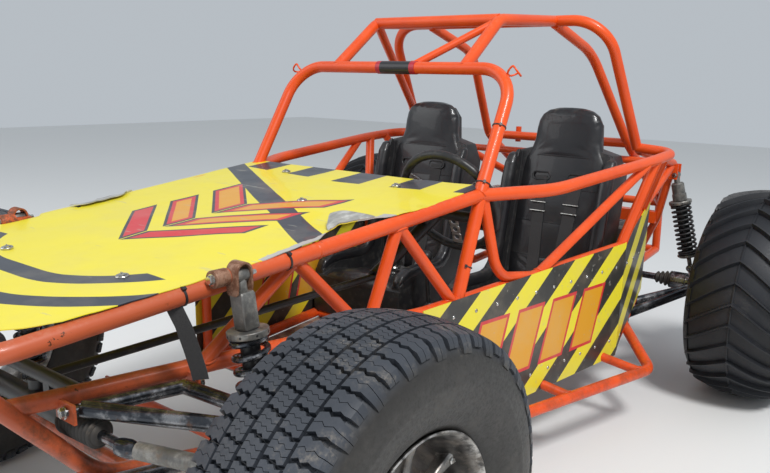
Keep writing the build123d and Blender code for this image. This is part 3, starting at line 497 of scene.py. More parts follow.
def hood_paint():
    """Hood: yellow, with bands, blocks along the rear edge, a slanted stripe, chevrons and bare metal."""
    look = Look("hood_sheet_paint", YELLOW, 0.33, coat=0.2)
    x, y, _ = look.axes()
    aside = abs(x)
    color = nose_bands(look, YELLOW, aside, y)
    rear = y - aside * 0.1
    blocks = look.math("FRACT", (x + 1.05) / 0.21) < 0.5
    color = look.mix(blocks * (rear > -0.4), color, SLATE)
    color = look.mix(look.within(y + x * 0.62, -0.70, -0.62), color, SLATE)
    color = chevrons(look, color, aside, y)
    ragged = x + look.noise(38.0, 5.0, 0.7) * 0.03
    bare = look.within(y, -1.07, -0.64) * (ragged > 0.418)
    color = look.mix(bare, color, (0.46, 0.45, 0.42))
    return scratched(look, color)


PAINT = orange_paint()
ARM_STEEL = dark_steel()
ALLOY = dusty_alloy()
SHEET = sheet_alloy()
TREAD_RUBBER = tyre_rubber("dusty_tread_rubber", (0.030, 0.034, 0.042), (0.022, 0.020, 0.018), 0.65)
PADDLE_RUBBER = tyre_rubber("paddle_rubber", (0.010, 0.011, 0.014), (0.010, 0.010, 0.011), 0.12)
RIM = rim_alloy()
VINYL = black_vinyl()
WEBBING = webbing()
PLASTIC = dark_plastic()
ENGINE = cast_engine()
ZINC = bright_steel()
PANEL_PAINT = panel_paint()
HOOD_PAINT = hood_paint()
RUSTY = rusty_steel()
BARE_TORN = torn_alloy()
WRAP = bar_wrap()
BOOT = boot_rubber()
BRUSHED = brushed_spokes()
YOKE = yoke_steel()

SLOT_LOOKS = {
    "frame_paint": PAINT, "panel_yellow": PANEL_PAINT, "arm_steel": ARM_STEEL, "bare_alloy": ALLOY,
    "rubber_tyre": TREAD_RUBBER, "rim_alloy": RIM, "seat_cover": VINYL, "engine_metal": ENGINE,
    "black_plastic": PLASTIC, "exhaust_steel": RUSTY,
}
NODE_LOOKS = {
    "floor_pan": SHEET, "hood_panel": HOOD_PAINT,
    "rear_tyre_left": PADDLE_RUBBER, "rear_tyre_right": PADDLE_RUBBER,
}


def smooth_by_angle(limit=35.0):
    """A modifier group that shades smooth and keeps edges sharper than the limit."""
    group = bpy.data.node_groups.new("smooth_by_angle", "GeometryNodeTree")
    group.interface.new_socket("Geometry", in_out="INPUT", socket_type="NodeSocketGeometry")
    group.interface.new_socket("Geometry", in_out="OUTPUT", socket_type="NodeSocketGeometry")
    entry = group.nodes.new("NodeGroupInput")
    weld = group.nodes.new("GeometryNodeMergeByDistance")
    weld.inputs["Distance"].default_value = 0.00002
    faces = group.nodes.new("GeometryNodeSetShadeSmooth")
    edges = group.nodes.new("GeometryNodeSetShadeSmooth")
    edges.domain = "EDGE"
    edges.inputs["Shade Smooth"].default_value = False
    angle = group.nodes.new("GeometryNodeInputMeshEdgeAngle")
    sharp = group.nodes.new("FunctionNodeCompare")
    sharp.inputs[1].default_value = radians(limit)
    leave = group.nodes.new("NodeGroupOutput")
    link = group.links.new
    link(entry.outputs[0], weld.inputs["Geometry"])
    link(weld.outputs[0], faces.inputs["Geometry"])
    link(faces.outputs[0], edges.inputs["Geometry"])
    link(angle.outputs["Unsigned Angle"], sharp.inputs[0])
    link(sharp.outputs[0], edges.inputs["Selection"])
    link(edges.outputs[0], leave.inputs[0])
    return group


SMOOTH = smooth_by_angle()
ALL_SMOOTH = smooth_by_angle(180.0)


def dress_nodes():
    """Give every CAD node its finish and smooth shading."""
    slots = {row["node"]: row["material_slot"] for row in frame["record"]["subparts"]}
    for name, piece in nodes.items():
        look = NODE_LOOKS.get(name) or SLOT_LOOKS[slots[name]]
        for index in range(len(piece.material_slots)):
            piece.material_slots[index].material = look
        modifier = piece.modifiers.new("smooth", "NODES")
        modifier.node_group = SMOOTH


dress_nodes()


# Meshes made in code

def circle(count, start=0.0):
    """Cosine and sine at even steps of one turn."""
    return [(cos(2 * pi * k / count + start), sin(2 * pi * k / count + start)) for k in range(count)]


def square_to(axis):
    """Two unit vectors square to an axis and to each other."""
    side = axis.orthogonal().normalized()
    return side, axis.cross(side)


def shown(name, mesh, look, body, slot, place=(0, 0, 0), soft=False, bevel=0.0, levels=0):
    """Show a mesh as one piece that rides on a body; a soft one has no sharp edge."""
    mesh.materials.clear()
    mesh.materials.append(look)
    made = bpy.data.objects.new(name, mesh)
    made.location = place
    bpy.context.scene.collection.objects.link(made)
    if bevel:
        modifier = made.modifiers.new("bevel", "BEVEL")
        modifier.width = bevel
        modifier.segments = 2
        modifier.limit_method = "ANGLE"
    if levels:
        modifier = made.modifiers.new("round", "SUBSURF")
        modifier.levels = modifier.render_levels = levels
    modifier = made.modifiers.new("smooth", "NODES")
    modifier.node_group = ALL_SMOOTH if soft else SMOOTH
    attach(made, body)
    return made


class Form:
    """Vertices and faces that are gathered and then made into one piece."""

    def __init__(self):
        self.verts = []
        self.faces = []

    def add(self, verts, faces):
        """Gather vertices, and faces that count from the first of them."""
        base = len(self.verts)
        self.verts += [Vector(v) for v in verts]
        self.faces += [[base + i for i in face] for face in faces]

    def loft(self, rings, caps=True, loop=False):
        """Skin a row of closed rings that all have the same number of points."""
        count = len(rings[0])
        verts = [point for ring in rings for point in ring]
        faces = []
        rows = len(rings) if loop else len(rings) - 1
        for row in range(rows):
            near, far = row * count, (row + 1) % len(rings) * count
            for i in range(count):
                j = (i + 1) % count
                faces.append([near + i, near + j, far + j, far + i])
        if caps and not loop:
            faces.append(list(range(count))[::-1])
            faces.append([len(verts) - count + i for i in range(count)])
        self.add(verts, faces)

    def tube(self, path, radius, sides=12, loop=False):
        """A round tube along a row of points; radius is a number or one for each point."""
        path = [Vector(p) for p in path]
        radii = radius if hasattr(radius, "__len__") else [radius] * len(path)
        count = len(path)
        rings = []
        side = None
        for i, point in enumerate(path):
            before = path[i - 1] if loop or i else point
            after = path[(i + 1) % count] if loop or i < count - 1 else point
            along = (after - before).normalized()
            if side is None:
                side = along.orthogonal().normalized()
            side = (side - along * side.dot(along)).normalized()
            other = along.cross(side)
            rings.append([point + (side * u + other * v) * radii[i] for u, v in circle(sides)])
        self.loft(rings, loop=loop)

    def turned(self, profile, place, axis, sides=32, caps=True):
        """Turn a profile of (distance along the axis, radius) about the axis."""
        place, axis = Vector(place), Vector(axis).normalized()
        side, other = square_to(axis)
        rings = []
        for along, r in profile:
            rings.append([place + axis * along + (side * u + other * v) * r for u, v in circle(sides)])
        self.loft(rings, caps)

    def ring(self, profile, place, axis, sides=72):
        """Turn a closed profile of (distance along the axis, radius) all the way round."""
        place, axis = Vector(place), Vector(axis).normalized()
        side, other = square_to(axis)
        rings = []
        for u, v in circle(sides):
            out = side * u + other * v
            rings.append([place + axis * along + out * r for along, r in profile])
        self.loft(rings, loop=True)

    def box(self, place, sizes, turn=Matrix.Identity(3)):
        """A block with its middle at place."""
        wide, deep, high = (size / 2 for size in sizes)
        corners = ((-wide, -deep), (wide, -deep), (wide, deep), (-wide, deep))
        self.loft([[Vector(place) + turn @ Vector((x, y, z)) for x, y in corners] for z in (-high, high)])

    def bolt(self, place, axis, size=0.008, head=0.005):
        """A hexagon head on a washer, standing along the axis."""
        axis = Vector(axis).normalized()
        self.turned([(0, size * 1.15), (0.0015, size * 1.15), (0.0016, size * 0.95)], place, axis, 20)
        top = Vector(place) + axis * 0.0015
        self.turned([(0, size * 0.92), (head * 0.8, size * 0.92), (head, size * 0.78)], top, axis, 6)

    def bolt_pair(self, start, finish, axis, gap, size, head):
        """A bolt head at both ends of a pin."""
        self.bolt(start - axis * gap, -axis, size, head)
        self.bolt(finish + axis * gap, axis, size, head)

    def mesh(self, name, origin=(0, 0, 0)):
        """The gathered mesh about an origin, with its faces turned outward."""
        mesh = bpy.data.meshes.new(name)
        mesh.from_pydata([tuple(v - Vector(origin)) for v in self.verts], [], self.faces)
        work = bmesh.new()
        work.from_mesh(mesh)
        bmesh.ops.recalc_face_normals(work, faces=work.faces)
        work.to_mesh(mesh)
        work.free()
        return mesh

    def piece(self, name, look, body, slot, origin=(0, 0, 0), **finish):
        """Show the gathered mesh as one piece that rides on a body."""
        return shown(name, self.mesh(name, origin), look, body, slot, origin, **finish)


def mirrored(point, side):
    """The same point on the driver's side (1) or the passenger's (-1)."""
    return Vector((point[0] * side, point[1], point[2]))


def arc_through(a, b, c, steps):
    """Points on the arc from a to c through b, in two dimensions."""
    (ax, ay), (bx, by), (cx, cy) = a, b, c
    d = 2 * (ax * (by - cy) + bx * (cy - ay) + cx * (ay - by))
    a2, b2, c2 = (p[0] ** 2 + p[1] ** 2 for p in (a, b, c))
    ux = (a2 * (by - cy) + b2 * (cy - ay) + c2 * (ay - by)) / d
    uy = (a2 * (cx - bx) + b2 * (ax - cx) + c2 * (bx - ax)) / d
    start = atan2(ay - uy, ax - ux)
    sweep = atan2(cy - uy, cx - ux) - start
    if sweep > pi:
        sweep -= 2 * pi
    if sweep < -pi:
        sweep += 2 * pi
    r = hypot(ax - ux, ay - uy)
    angles = [start + sweep * i / steps for i in range(steps + 1)]
    return [(ux + r * cos(angle), uy + r * sin(angle)) for angle in angles]


# Tyres

FRONT_CENTER = (0.808, -1.164, 0.407)
REAR_CENTER = (0.944, 1.076, 0.411)


class TyreSkin:
    """The tyre's outer surface: a place from the distance across it, the angle round it and a height."""

    def __init__(self, radius, half, tread, bead, shoulder):
        wall_r = (bead + shoulder) / 2
        crown = arc_through((-tread, shoulder), (0, radius), (tread, shoulder), 24)[12:]
        wall = arc_through((tread, shoulder), (half, wall_r), (tread - 0.014, bead), 24)
        self.points = crown + wall[1:]
        self.lengths = [0.0]
        for before, after in zip(self.points, self.points[1:]):
            self.lengths.append(self.lengths[-1] + hypot(after[0] - before[0], after[1] - before[1]))
        self.tread_end = self.lengths[len(crown) - 1]
        self.end = self.lengths[-1]

    def at(self, across, angle, height=0.0):
        """A place from the wheel's centre, lifted off the surface by height."""
        distance = min(abs(across), self.end - 1e-6)
        i = 0
        while self.lengths[i + 1] < distance:
            i += 1
        share = (distance - self.lengths[i]) / (self.lengths[i + 1] - self.lengths[i])
        (x0, r0), (x1, r1) = self.points[i], self.points[i + 1]
        run = hypot(x1 - x0, r1 - r0)
        out_x, out_r = (r0 - r1) / run, (x1 - x0) / run
        x = x0 + (x1 - x0) * share + out_x * height
        r = r0 + (r1 - r0) * share + out_r * height
        return Vector((x * (1 if across >= 0 else -1), -r * cos(angle), r * sin(angle)))


def carcass(form, skin, depth_at, center, around=144, steps=30):
    """The tyre's smooth body: across the tread and down both walls, closed inside."""
    spots = [skin.end * i / steps for i in range(-steps, steps + 1)]
    rings = []
    for turn in range(around):
        angle = 2 * pi * turn / around
        ring = [Vector(center) + skin.at(s, angle, -depth_at(abs(s), angle)) for s in spots]
        inner_r = skin.points[-1][1] - 0.003
        for x in (skin.points[-1][0] * 0.9, -skin.points[-1][0] * 0.9):
            ring.append(Vector(center) + Vector((x, -inner_r * cos(angle), inner_r * sin(angle))))
        rings.append(ring)
    form.loft(rings, loop=True)


TREAD_PITCHES = 58
TREAD_DEPTH = 0.0115
SIPE = 0.0012
LUG_FLARE = 0.0008
# Tread rows: distance across to the row's middle, its width, block length, lean, shift in pitches
TREAD_ROWS = (
    (0.000, 0.037, 0.0360, 0.05, 0.0),
    (0.0445, 0.038, 0.0360, 0.10, 0.42), (-0.0445, 0.038, 0.0360, 0.10, 0.58),
)
ZIGZAG = ((0.0, 0.0030), (0.24, 0.0046), (0.38, -0.0006), (0.60, 0.0014), (0.76, -0.0052), (1.0, -0.0030))
SHOULDER_ROW = (0.0690, 0.146, 0.0345)


def tread_block(form, skin, center, angle, row, radius):
    """One zigzag block of three strips between two sipes."""
    middle, width, length, lean, _ = row
    strip = (length - 2 * SIPE) / 3
    for number in range(3):
        start = -length / 2 + number * (strip + SIPE)
        end = start + strip
        foot = ((end + LUG_FLARE, -TREAD_DEPTH), (start - LUG_FLARE, -TREAD_DEPTH))
        rings = []
        for share, jog in ZIGZAG:
            across = middle + (share - 0.5) * width
            shift = jog + (share - 0.5) * width * lean
            rings.append([
                center + skin.at(across, angle + (along + shift) / radius, height)
                for along, height in ((start, 0.0), (end, 0.0), *foot)
            ])
        form.loft(rings)


def shoulder_lug(form, skin, center, angle, side, long_lug, radius):
    """One lug that wraps over the shoulder, longer and shorter in turn, with a sipe."""
    start, end, length = SHOULDER_ROW
    end = end if long_lug else end - 0.012
    strip = (length - SIPE) / 2
    for number in range(2):
        along = -length / 2 + number * (strip + SIPE)
        rings = []
        for share in (0.0, 0.16, 0.26, 0.42, 0.56, 0.72, 0.88, 1.0):
            across = (start + (end - start) * share) * side
            jog = 0.004 * (1 if share in (0.16, 0.42) else -0.4) if share < 0.5 else 0.0
            narrow = 0.0035 * max(0.0, share - 0.45) / 0.55
            low = TREAD_DEPTH if share < 0.8 else TREAD_DEPTH * 0.8
            top = 0.0 if share < 0.95 else -0.0015
            near = along + jog + (narrow if number == 0 else 0.0)
            far = along + strip + jog - (narrow if number == 1 else 0.0)
            corners = ((near, top), (far, top), (far + LUG_FLARE, -low), (near - LUG_FLARE, -low))
            rings.append([center + skin.at(across, angle + at / radius, height) for at, height in corners])
        form.loft(rings)


FRONT_SKIN = TyreSkin(0.407, 0.134, 0.112, 0.216, 0.392)
REAR_SKIN = TyreSkin(0.411, 0.183, 0.165, 0.191, 0.376)


def eased(value, start, end, low, high):
    """A value between low and high that follows another one from start to end."""
    share = min(1.0, max(0.0, (value - start) / (end - start)))
    return low + (high - low) * share


def front_depth(across, _):
    """How far the front tyre's body lies under the lugs' tips, with two raised rings on the wall."""
    ring = 0.0014 if 0.196 < across < 0.204 or 0.276 < across < 0.284 else 0.0
    return eased(across, 0.112, 0.150, TREAD_DEPTH, 0.0030) - ring


def make_front_tyre(side, name):
    """All-terrain tyre: five rows of siped blocks on a smooth body."""
    center = mirrored(FRONT_CENTER, side)
    form = Form()
    carcass(form, FRONT_SKIN, front_depth, center, around=160, steps=44)
    for pitch in range(TREAD_PITCHES):
        for row in TREAD_ROWS:
            angle = 2 * pi * (pitch + row[4]) / TREAD_PITCHES
            tread_block(form, FRONT_SKIN, center, angle, row, 0.400)
        for edge in (1, -1):
            angle = 2 * pi * (pitch + 0.22 + 0.5 * (edge > 0)) / TREAD_PITCHES
            shoulder_lug(form, FRONT_SKIN, center, angle, edge, pitch % 2 == 0, 0.396)
    tyre = form.piece(f"front_tyre_tread_{name}", TREAD_RUBBER, f"front_wheel_{name}", "rubber_tyre", center)
    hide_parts(f"front_tyre_{name}")


RIB_COUNT = 32
RIB_SWEEP = radians(19.0)
RIB_HEIGHT = 0.018


def rear_depth(across, _):
    """How far the rear tyre's body lies under the ribs' tips."""
    return eased(across, 0.165, 0.215, RIB_HEIGHT, 0.002)


def paddle_rib(form, center, crown, edge):
    """One curved half of a chevron, from the crown to the shoulder."""
    foot = -RIB_HEIGHT - 0.001
    rings = []
    for share in [i / 12 for i in range(13)]:
        across = max(0.196 * share, 0.0004) * edge
        angle = crown - RIB_SWEEP * (share ** 1.15)
        rise = 1.0 if share < 0.8 else 1.0 - 0.55 * (share - 0.8) / 0.2
        top = -RIB_HEIGHT * (1 - rise)
        corners = ((-0.011, foot), (-0.0035, top), (0.0025, top), (0.0065, foot))
        rings.append([
            center + REAR_SKIN.at(across, angle + along / 0.4, height) for along, height in corners
        ])
    form.loft(rings)


def make_rear_tyre(side, name):
    """Paddle tyre: a smooth body with thin curved chevron ribs and a centre seam."""
    center = mirrored(REAR_CENTER, side)
    form = Form()
    carcass(form, REAR_SKIN, rear_depth, center, around=144, steps=36)
    for rib in range(RIB_COUNT):
        crown = 2 * pi * rib / RIB_COUNT + radians(6.5)
        for edge in (1, -1):
            paddle_rib(form, center, crown, edge)
    seam = [center + REAR_SKIN.at(0.0, 2 * pi * i / 128, -RIB_HEIGHT + 0.003) for i in range(128)]
    form.tube(seam, 0.004, 6, loop=True)
    tyre = form.piece(f"rear_tyre_paddles_{name}", PADDLE_RUBBER, f"rear_wheel_{name}", "rubber_tyre", center)
    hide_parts(f"rear_tyre_{name}")


for side, name in SIDES:
    make_front_tyre(side, name)
    make_rear_tyre(side, name)


# Springs, shocks and their clevises

def helix(start, end, radius, turns, flat_ends):
    """Points of a coil round the line from start to end, with flat first and last coils."""
    side, other = square_to((end - start).normalized())
    count = turns * 28
    points = []
    for i in range(count + 1):
        share = i / count
        rise = min(1.0, max(0.0, (share - flat_ends) / (1 - 2 * flat_ends)))
        turn = 2 * pi * turns * share
        points.append(start.lerp(end, rise) + (side * cos(turn) + other * sin(turn)) * radius)
    return points


# Shocks: top, foot, body end, half body, square, coil radius, turns, wire radius
FRONT_SHOCK = ((0.443, -1.155, 0.824), (0.500, -1.130, 0.340), 0.110, 0.019, True, 0.040, 11, 0.0070)
REAR_SHOCK = ((0.545, 1.178, 0.838), (0.640, 1.215, 0.440), 0.110, 0.026, False, 0.042, 12, 0.0050)


def shock_body(metal, top, axis, body_end, half, square):
    """The damper's body: a bevelled square billet in front, a round tube behind."""
    if not square:
        profile = [(0.034, half * 0.8), (0.040, half), (body_end - 0.030, half),
                   (body_end - 0.028, half + 0.003), (body_end, half + 0.003)]
        metal.turned(profile, top, axis, 36)
        return
    across = (ACROSS - axis * axis.x).normalized()
    other = axis.cross(across)
    edge = half - 0.0025
    outline = [(half, edge), (edge, half), (-edge, half), (-half, edge),
               (-half, -edge), (-edge, -half), (edge, -half), (half, -edge)]
    metal.loft([
        [top + axis * at + (across * u + other * v) * grow for u, v in outline]
        for at, grow in ((0.034, 0.88), (0.040, 1.0), (0.080, 1.0), (body_end, 1.0))
    ])


def clamp_ring(metal, dark, top, axis, ring, coil_r):
    """The ring that holds the spring's upper end, with eight holes drawn as thin dark discs of painted shade.
    """
    clamp = [(0.0, -0.012), (0.0, 0.003), (0.0015, 0.004), (0.0125, 0.004), (0.014, 0.003), (0.014, -0.012)]
    metal.turned([(ring + at, coil_r + r) for at, r in clamp], top, axis, 48)
    side, other = square_to(axis)
    # Each hole is a thin dark disc: painted shade.
    for u, v in circle(8, 0.3):
        out = side * u + other * v
        spot = top + axis * (ring + 0.007) + out * (coil_r + 0.0032)
        dark.turned([(0, 0.0026), (0.0012, 0.0026)], spot, out, 12)


def make_shock(shock, side, name, spring_look):
    """A coil-over: eyes, body, clamp ring with painted-shade holes, wound spring, seat, rod and inner tube.
    """
    top, foot = mirrored(shock[0], side), mirrored(shock[1], side)
    body_end, half, square, coil_r, turns, wire = shock[2:]
    axis = (foot - top).normalized()
    length = (foot - top).length
    seat_at, ring = length - 0.064, body_end + 0.002
    metal, spring, dark = Form(), Form(), Form()
    eye = [(0, 0.011), (0, 0.0145), (0.002, 0.015), (0.028, 0.015), (0.030, 0.0145), (0.030, 0.011)]
    for place in (top, foot):
        metal.turned(eye, place - BACK * 0.015, BACK, 28)
    metal.turned([(0.008, 0.012), (0.036, 0.012)], top, axis, 20)
    shock_body(metal, top, axis, body_end, half, square)
    dark.turned([(body_end, coil_r - 0.019), (seat_at, coil_r - 0.019)], top, axis, 32)
    clamp_ring(metal, dark, top, axis, ring, coil_r)
    metal.turned([(seat_at, 0.010), (seat_at, coil_r + 0.002), (seat_at + 0.006, coil_r + 0.003),
                  (seat_at + 0.012, coil_r - 0.004), (seat_at + 0.012, 0.010)], top, axis, 48)
    metal.turned([(seat_at, 0.009), (length - 0.012, 0.009)], top, axis, 20)
    first, last = top + axis * (ring + 0.019), top + axis * (seat_at - 0.005)
    spring.tube(helix(first, last, coil_r - 0.005, turns, 0.06), wire, 10)
    kind = "front" if square else "rear"
    bevel = 0.0008 if square else 0.0
    body = metal.piece(f"{kind}_shock_body_{name}", ALLOY, "chassis", "bare_alloy", top, bevel=bevel)
    spring.piece(f"{kind}_spring_{name}", spring_look, "chassis", "arm_steel", top)
    # The dark piece holds the inner tube and the holes' painted shade.
    dark.piece(f"{kind}_shock_ring_holes_{name}", PLASTIC, "chassis", "black_plastic", top)
    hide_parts(f"{kind}_shock_{name}")


for side, name in SIDES:
    make_shock(FRONT_SHOCK, side, name, ARM_STEEL)
    make_shock(REAR_SHOCK, side, name, PLASTIC)


# Rims

FRONT_LIP = (
    (0.104, 0.2190), (0.098, 0.2165), (0.094, 0.2085), (0.080, 0.2060), (0.055, 0.1980), (0.030, 0.1900),
    (-0.040, 0.1900), (-0.070, 0.2000), (-0.092, 0.2080), (-0.098, 0.2165), (-0.104, 0.2190),
    (-0.1055, 0.2165), (-0.100, 0.2100), (-0.090, 0.2030), (-0.070, 0.1945), (-0.040, 0.1845),
    (0.030, 0.1845), (0.055, 0.1925), (0.078, 0.1990), (0.095, 0.2075), (0.1060, 0.2165),
)
FRONT_HUB = (
    (0.012, 0.060), (0.044, 0.060), (0.0495, 0.055), (0.0495, 0.031), (0.062, 0.029), (0.070, 0.026),
    (0.073, 0.018),
)
SPOKE_STATIONS = (  # radius, half width, face and back along the axis
    (0.050, 0.0150, 0.050, 0.024), (0.075, 0.0125, 0.050, 0.026), (0.110, 0.0105, 0.048, 0.026),
    (0.150, 0.0100, 0.049, 0.028), (0.175, 0.0120, 0.053, 0.026), (0.194, 0.0170, 0.058, 0.024),
)


def lug_nuts(form, center, side, face, radius, count, size):
    """A ring of lug nuts on a wheel's face."""
    for u, v in circle(count, 0.3):
        spot = center + Vector((face * side, radius * u, radius * v))
        form.turned([(0, size * 1.2), (0.003, size * 1.2)], spot, ACROSS * side, 18)
        form.turned([(0.002, size), (0.013, size), (0.019, size * 0.55)], spot, ACROSS * side, 6)


def front_spoke(spokes, nuts, center, side, turn):
    """One spoke, bevelled along its face, and the nut at its outer end."""
    out, wide = Vector((0, cos(turn), sin(turn))), Vector((0, -sin(turn), cos(turn)))
    rings = []
    for r, half, face, back in SPOKE_STATIONS:
        edge, low = half * 0.72, face - 0.005
        corners = ((-half, back), (-half, low), (-edge, face), (edge, face), (half, low), (half, back))
        rings.append([center + out * r + wide * w + ACROSS * (along * side) for w, along in corners])
    spokes.loft(rings)
    pad = center + out * 0.187 + ACROSS * (0.056 * side)
    nuts.turned([(-0.006, 0.008), (0.002, 0.008), (0.0045, 0.0055)], pad, ACROSS * side, 6)


def make_front_rim(side, name):
    """Cast rim: rolled lip, drop centre, five pairs of spokes, nuts, cap and valve."""
    center = mirrored(FRONT_CENTER, side)
    rim, spokes, small = Form(), Form(), Form()
    rim.ring([(along * side, r) for along, r in FRONT_LIP], center, ACROSS, 120)
    for pair in range(5):
        for lean in (-13.0, 13.0):
            front_spoke(spokes, small, center, side, radians(90 + 72 * pair + lean))
    spokes.turned([(along * side, r) for along, r in FRONT_HUB], center, ACROSS, 48)
    lug_nuts(small, center, side, 0.0495, 0.0435, 5, 0.0085)
    valve = ((0.078, 0.0), (0.094, 0.006), (0.112, 0.014))
    small.tube([center + Vector((along * side, 0, z - 0.190)) for along, z in valve], 0.0035, 10)
    body = f"front_wheel_{name}"
    made = rim.piece(f"front_rim_barrel_{name}", RIM, body, "rim_alloy", center)
    spokes.piece(f"front_rim_spokes_{name}", RIM, body, "rim_alloy", center, bevel=0.0012)
    small.piece(f"front_rim_nuts_{name}", ZINC, body, "rim_alloy", center)
    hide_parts(f"front_rim_{name}")


def make_rear_rim_details(side, name):
    """Rolled lip rings, rounded hole edges, nuts and a cap over the rear rim's solid."""
    center = mirrored(REAR_CENTER, side)
    rim, small = Form(), Form()
    for end in (1, -1):
        lip = [((0.1515 + 0.0045 * u) * end, 0.1885 + 0.0050 * v) for u, v in circle(12)]
        rim.ring(lip, center, ACROSS, 120)
    edge = [(0.0015 * u, 0.0265 + 0.0018 * v) for u, v in circle(8)]
    for u, v in circle(8):
        rim.ring(edge, center + Vector((-0.0215 * side, 0.128 * u, 0.128 * v)), ACROSS, 36)
    cap = [(-0.004, 0.036), (0.020, 0.036), (0.032, 0.030), (0.035, 0.018)]
    rim.turned([(along * side, r) for along, r in cap], center, ACROSS, 40)
    lug_nuts(small, center, side, -0.0025, 0.048, 5, 0.0085)
    body = f"rear_wheel_{name}"
    rim.piece(f"rear_rim_lips_{name}", RIM, body, "rim_alloy", center)
    small.piece(f"rear_rim_nuts_{name}", ZINC, body, "rim_alloy", center)


for side, name in SIDES:
    make_front_rim(side, name)
    make_rear_rim_details(side, name)


# Hood sheet

DRIVER_EDGE = (  # y, x along the torn driver's edge
    (-0.254, 0.455), (-0.560, 0.450), (-0.640, 0.440), (-0.700, 0.420), (-0.760, 0.399), (-0.800, 0.392),
    (-0.860, 0.405), (-0.905, 0.424), (-1.000, 0.420), (-1.180, 0.410), (-1.300, 0.402), (-1.420, 0.396),
    (-1.500, 0.388), (-1.560, 0.360), (-1.600, 0.325), (-1.621, 0.295),
)
PASSENGER_RAIL = (  # y, how far across the folded edge reaches
    (-0.254, 0.464), (-1.100, 0.410), (-1.116, 0.384), (-1.216, 0.384), (-1.232, 0.402), (-1.621, 0.376),
)
HOOD_TOP = ((-0.254, 0.9130), (-1.180, 0.8225), (-1.621, 0.7885))
HOOD_THICK = 0.0018
FOLD_DROP = 0.026


def along_table(table, y):
    """Read a value between the rows of a table that runs from the rear to the front."""
    for (y0, v0), (y1, v1) in zip(table, table[1:]):
        if y >= y1:
            return v0 + (v1 - v0) * (y0 - y) / (y0 - y1)
    return table[-1][1]


def hood_point(across, y):
    """A point of the sheet: across runs from the passenger's folded edge (0) to the driver's edge (1)."""
    rough = noise.noise(Vector((3.0, y * 38.0, 0.5))) * 0.0022
    torn = max(0.0, 1.0 - abs(y + 0.80) / 0.28)
    driver = along_table(DRIVER_EDGE, y) + rough + torn * noise.noise(Vector((9.0, y * 90.0, 1.0))) * 0.004
    rail = along_table(PASSENGER_RAIL, y)
    flat_start, fold_start = -rail - 0.020, 0.07
    z = along_table(HOOD_TOP, y) + 0.0012
    if across < fold_start:
        turn = min(1.0, across / fold_start)
        x = flat_start - 0.007 * cos(turn * pi / 2)
        sag = noise.noise(Vector((1.0, y * 6.0, 4.0))) * 0.004
        drop = (FOLD_DROP + sag) * (1 - turn) ** 1.3
        return Vector((x, y, z - drop))
    share = (across - fold_start) / (1 - fold_start)
    x = flat_start + (driver - flat_start) * share
    inside = min(1.0, 4 * share * (1 - share))
    dents = noise.noise(Vector((x * 3.1, y * 2.6, 7.0))) * 0.0080 * inside
    dents += noise.noise(Vector((x * 9.0, y * 8.0, 2.0))) * 0.0018
    near_edge = max(0.0, (share - 0.86) / 0.14)
    lift = torn * near_edge ** 2 * (0.010 + 0.006 * noise.noise(Vector((0.0, y * 22.0, 3.0))))
    rear = max(0.0, (y + 0.50) / 0.25) * near_edge * 0.004
    return Vector((x, y, z + max(dents, -0.0010) + lift + rear))


def sheet_grid(form, point_at, columns, rows, thick):
    """A thin sheet: top and bottom skins joined round the edge."""
    verts, faces = [], []
    for drop in (0.0, thick):
        for j in range(rows + 1):
            for i in range(columns + 1):
                verts.append(point_at(i / columns, j / rows) - Vector((0, 0, drop)))
    wide, layer = columns + 1, (columns + 1) * (rows + 1)
    for j in range(rows):
        for i in range(columns):
            a = j * wide + i
            quad = [a, a + 1, a + 1 + wide, a + wide]
            faces.append(quad)
            faces.append([v + layer for v in reversed(quad)])
    edge = [i for i in range(wide)] + [j * wide + columns for j in range(1, rows + 1)]
    edge += [rows * wide + i for i in range(columns - 1, -1, -1)] + [j * wide for j in range(rows - 1, 0, -1)]
    for a, b in zip(edge, edge[1:] + edge[:1]):
        faces.append([b, a, a + layer, b + layer])
    form.add(verts, faces)


HOOD_FRONT, HOOD_BACK = -1.621, -0.254
HOOD_NORMAL = (0, -0.1, 1)


def near_flap(u, v):
    """The torn flap at the driver's edge, curled up."""
    base = hood_point(1.0, -0.700 - 0.150 * v)
    reach = 0.045 * sin(pi * (0.08 + 0.84 * v)) * u
    return base + Vector((-reach * 0.9, 0.006 * u, 0.003 + 0.020 * sin(u * 1.9) * sin(pi * v)))


def far_flap(u, v):
    """The torn flap at the passenger's edge, lying on the sheet."""
    base = hood_point(0.075 + 0.012 * sin(9.0 * v), -0.800 - 0.190 * v)
    reach = 0.052 * sin(pi * (0.06 + 0.88 * v)) * u
    return base + Vector((reach, -0.03 * u, 0.0026 + 0.004 * sin(u * 2.4)))


def make_hood():
    """The hood sheet, its bare torn flaps and its fasteners."""
    form, flaps, small = Form(), Form(), Form()
    reach = HOOD_FRONT - HOOD_BACK
    sheet_grid(form, lambda u, v: hood_point(u, HOOD_BACK + reach * v), 80, 170, HOOD_THICK)
    hood = form.piece("hood_sheet", HOOD_PAINT, "chassis", "panel_yellow")
    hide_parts("hood_panel")
    sheet_grid(flaps, near_flap, 10, 26, HOOD_THICK)
    sheet_grid(flaps, far_flap, 10, 22, HOOD_THICK)
    flaps.piece("hood_torn_flaps", BARE_TORN, "chassis", "bare_alloy")
    for x, y in ((0.111, -0.638), (-0.155, -1.327), (0.227, -0.365), (-0.227, -0.365), (0.26, -1.30)):
        place = Vector((x, y, along_table(HOOD_TOP, y) + 0.0045))
        washer = [(-0.004, 0.014), (0.0, 0.014), (0.0018, 0.0125), (0.0018, 0.0090)]
        small.turned(washer, place, HOOD_NORMAL, 28)
        small.turned([(0.0, 0.0085), (0.0030, 0.0085), (0.0038, 0.0070)], place, HOOD_NORMAL, 20)
        wing = ((-0.010, 0.004, 0.004), (0.002, 0.000, 0.0055), (0.014, -0.004, 0.004))
        small.tube([place + Vector(spot) for spot in wing], 0.0016, 8)
    small.piece("hood_fasteners", ZINC, "chassis", "bare_alloy")


make_hood()


# Fittings on the frame

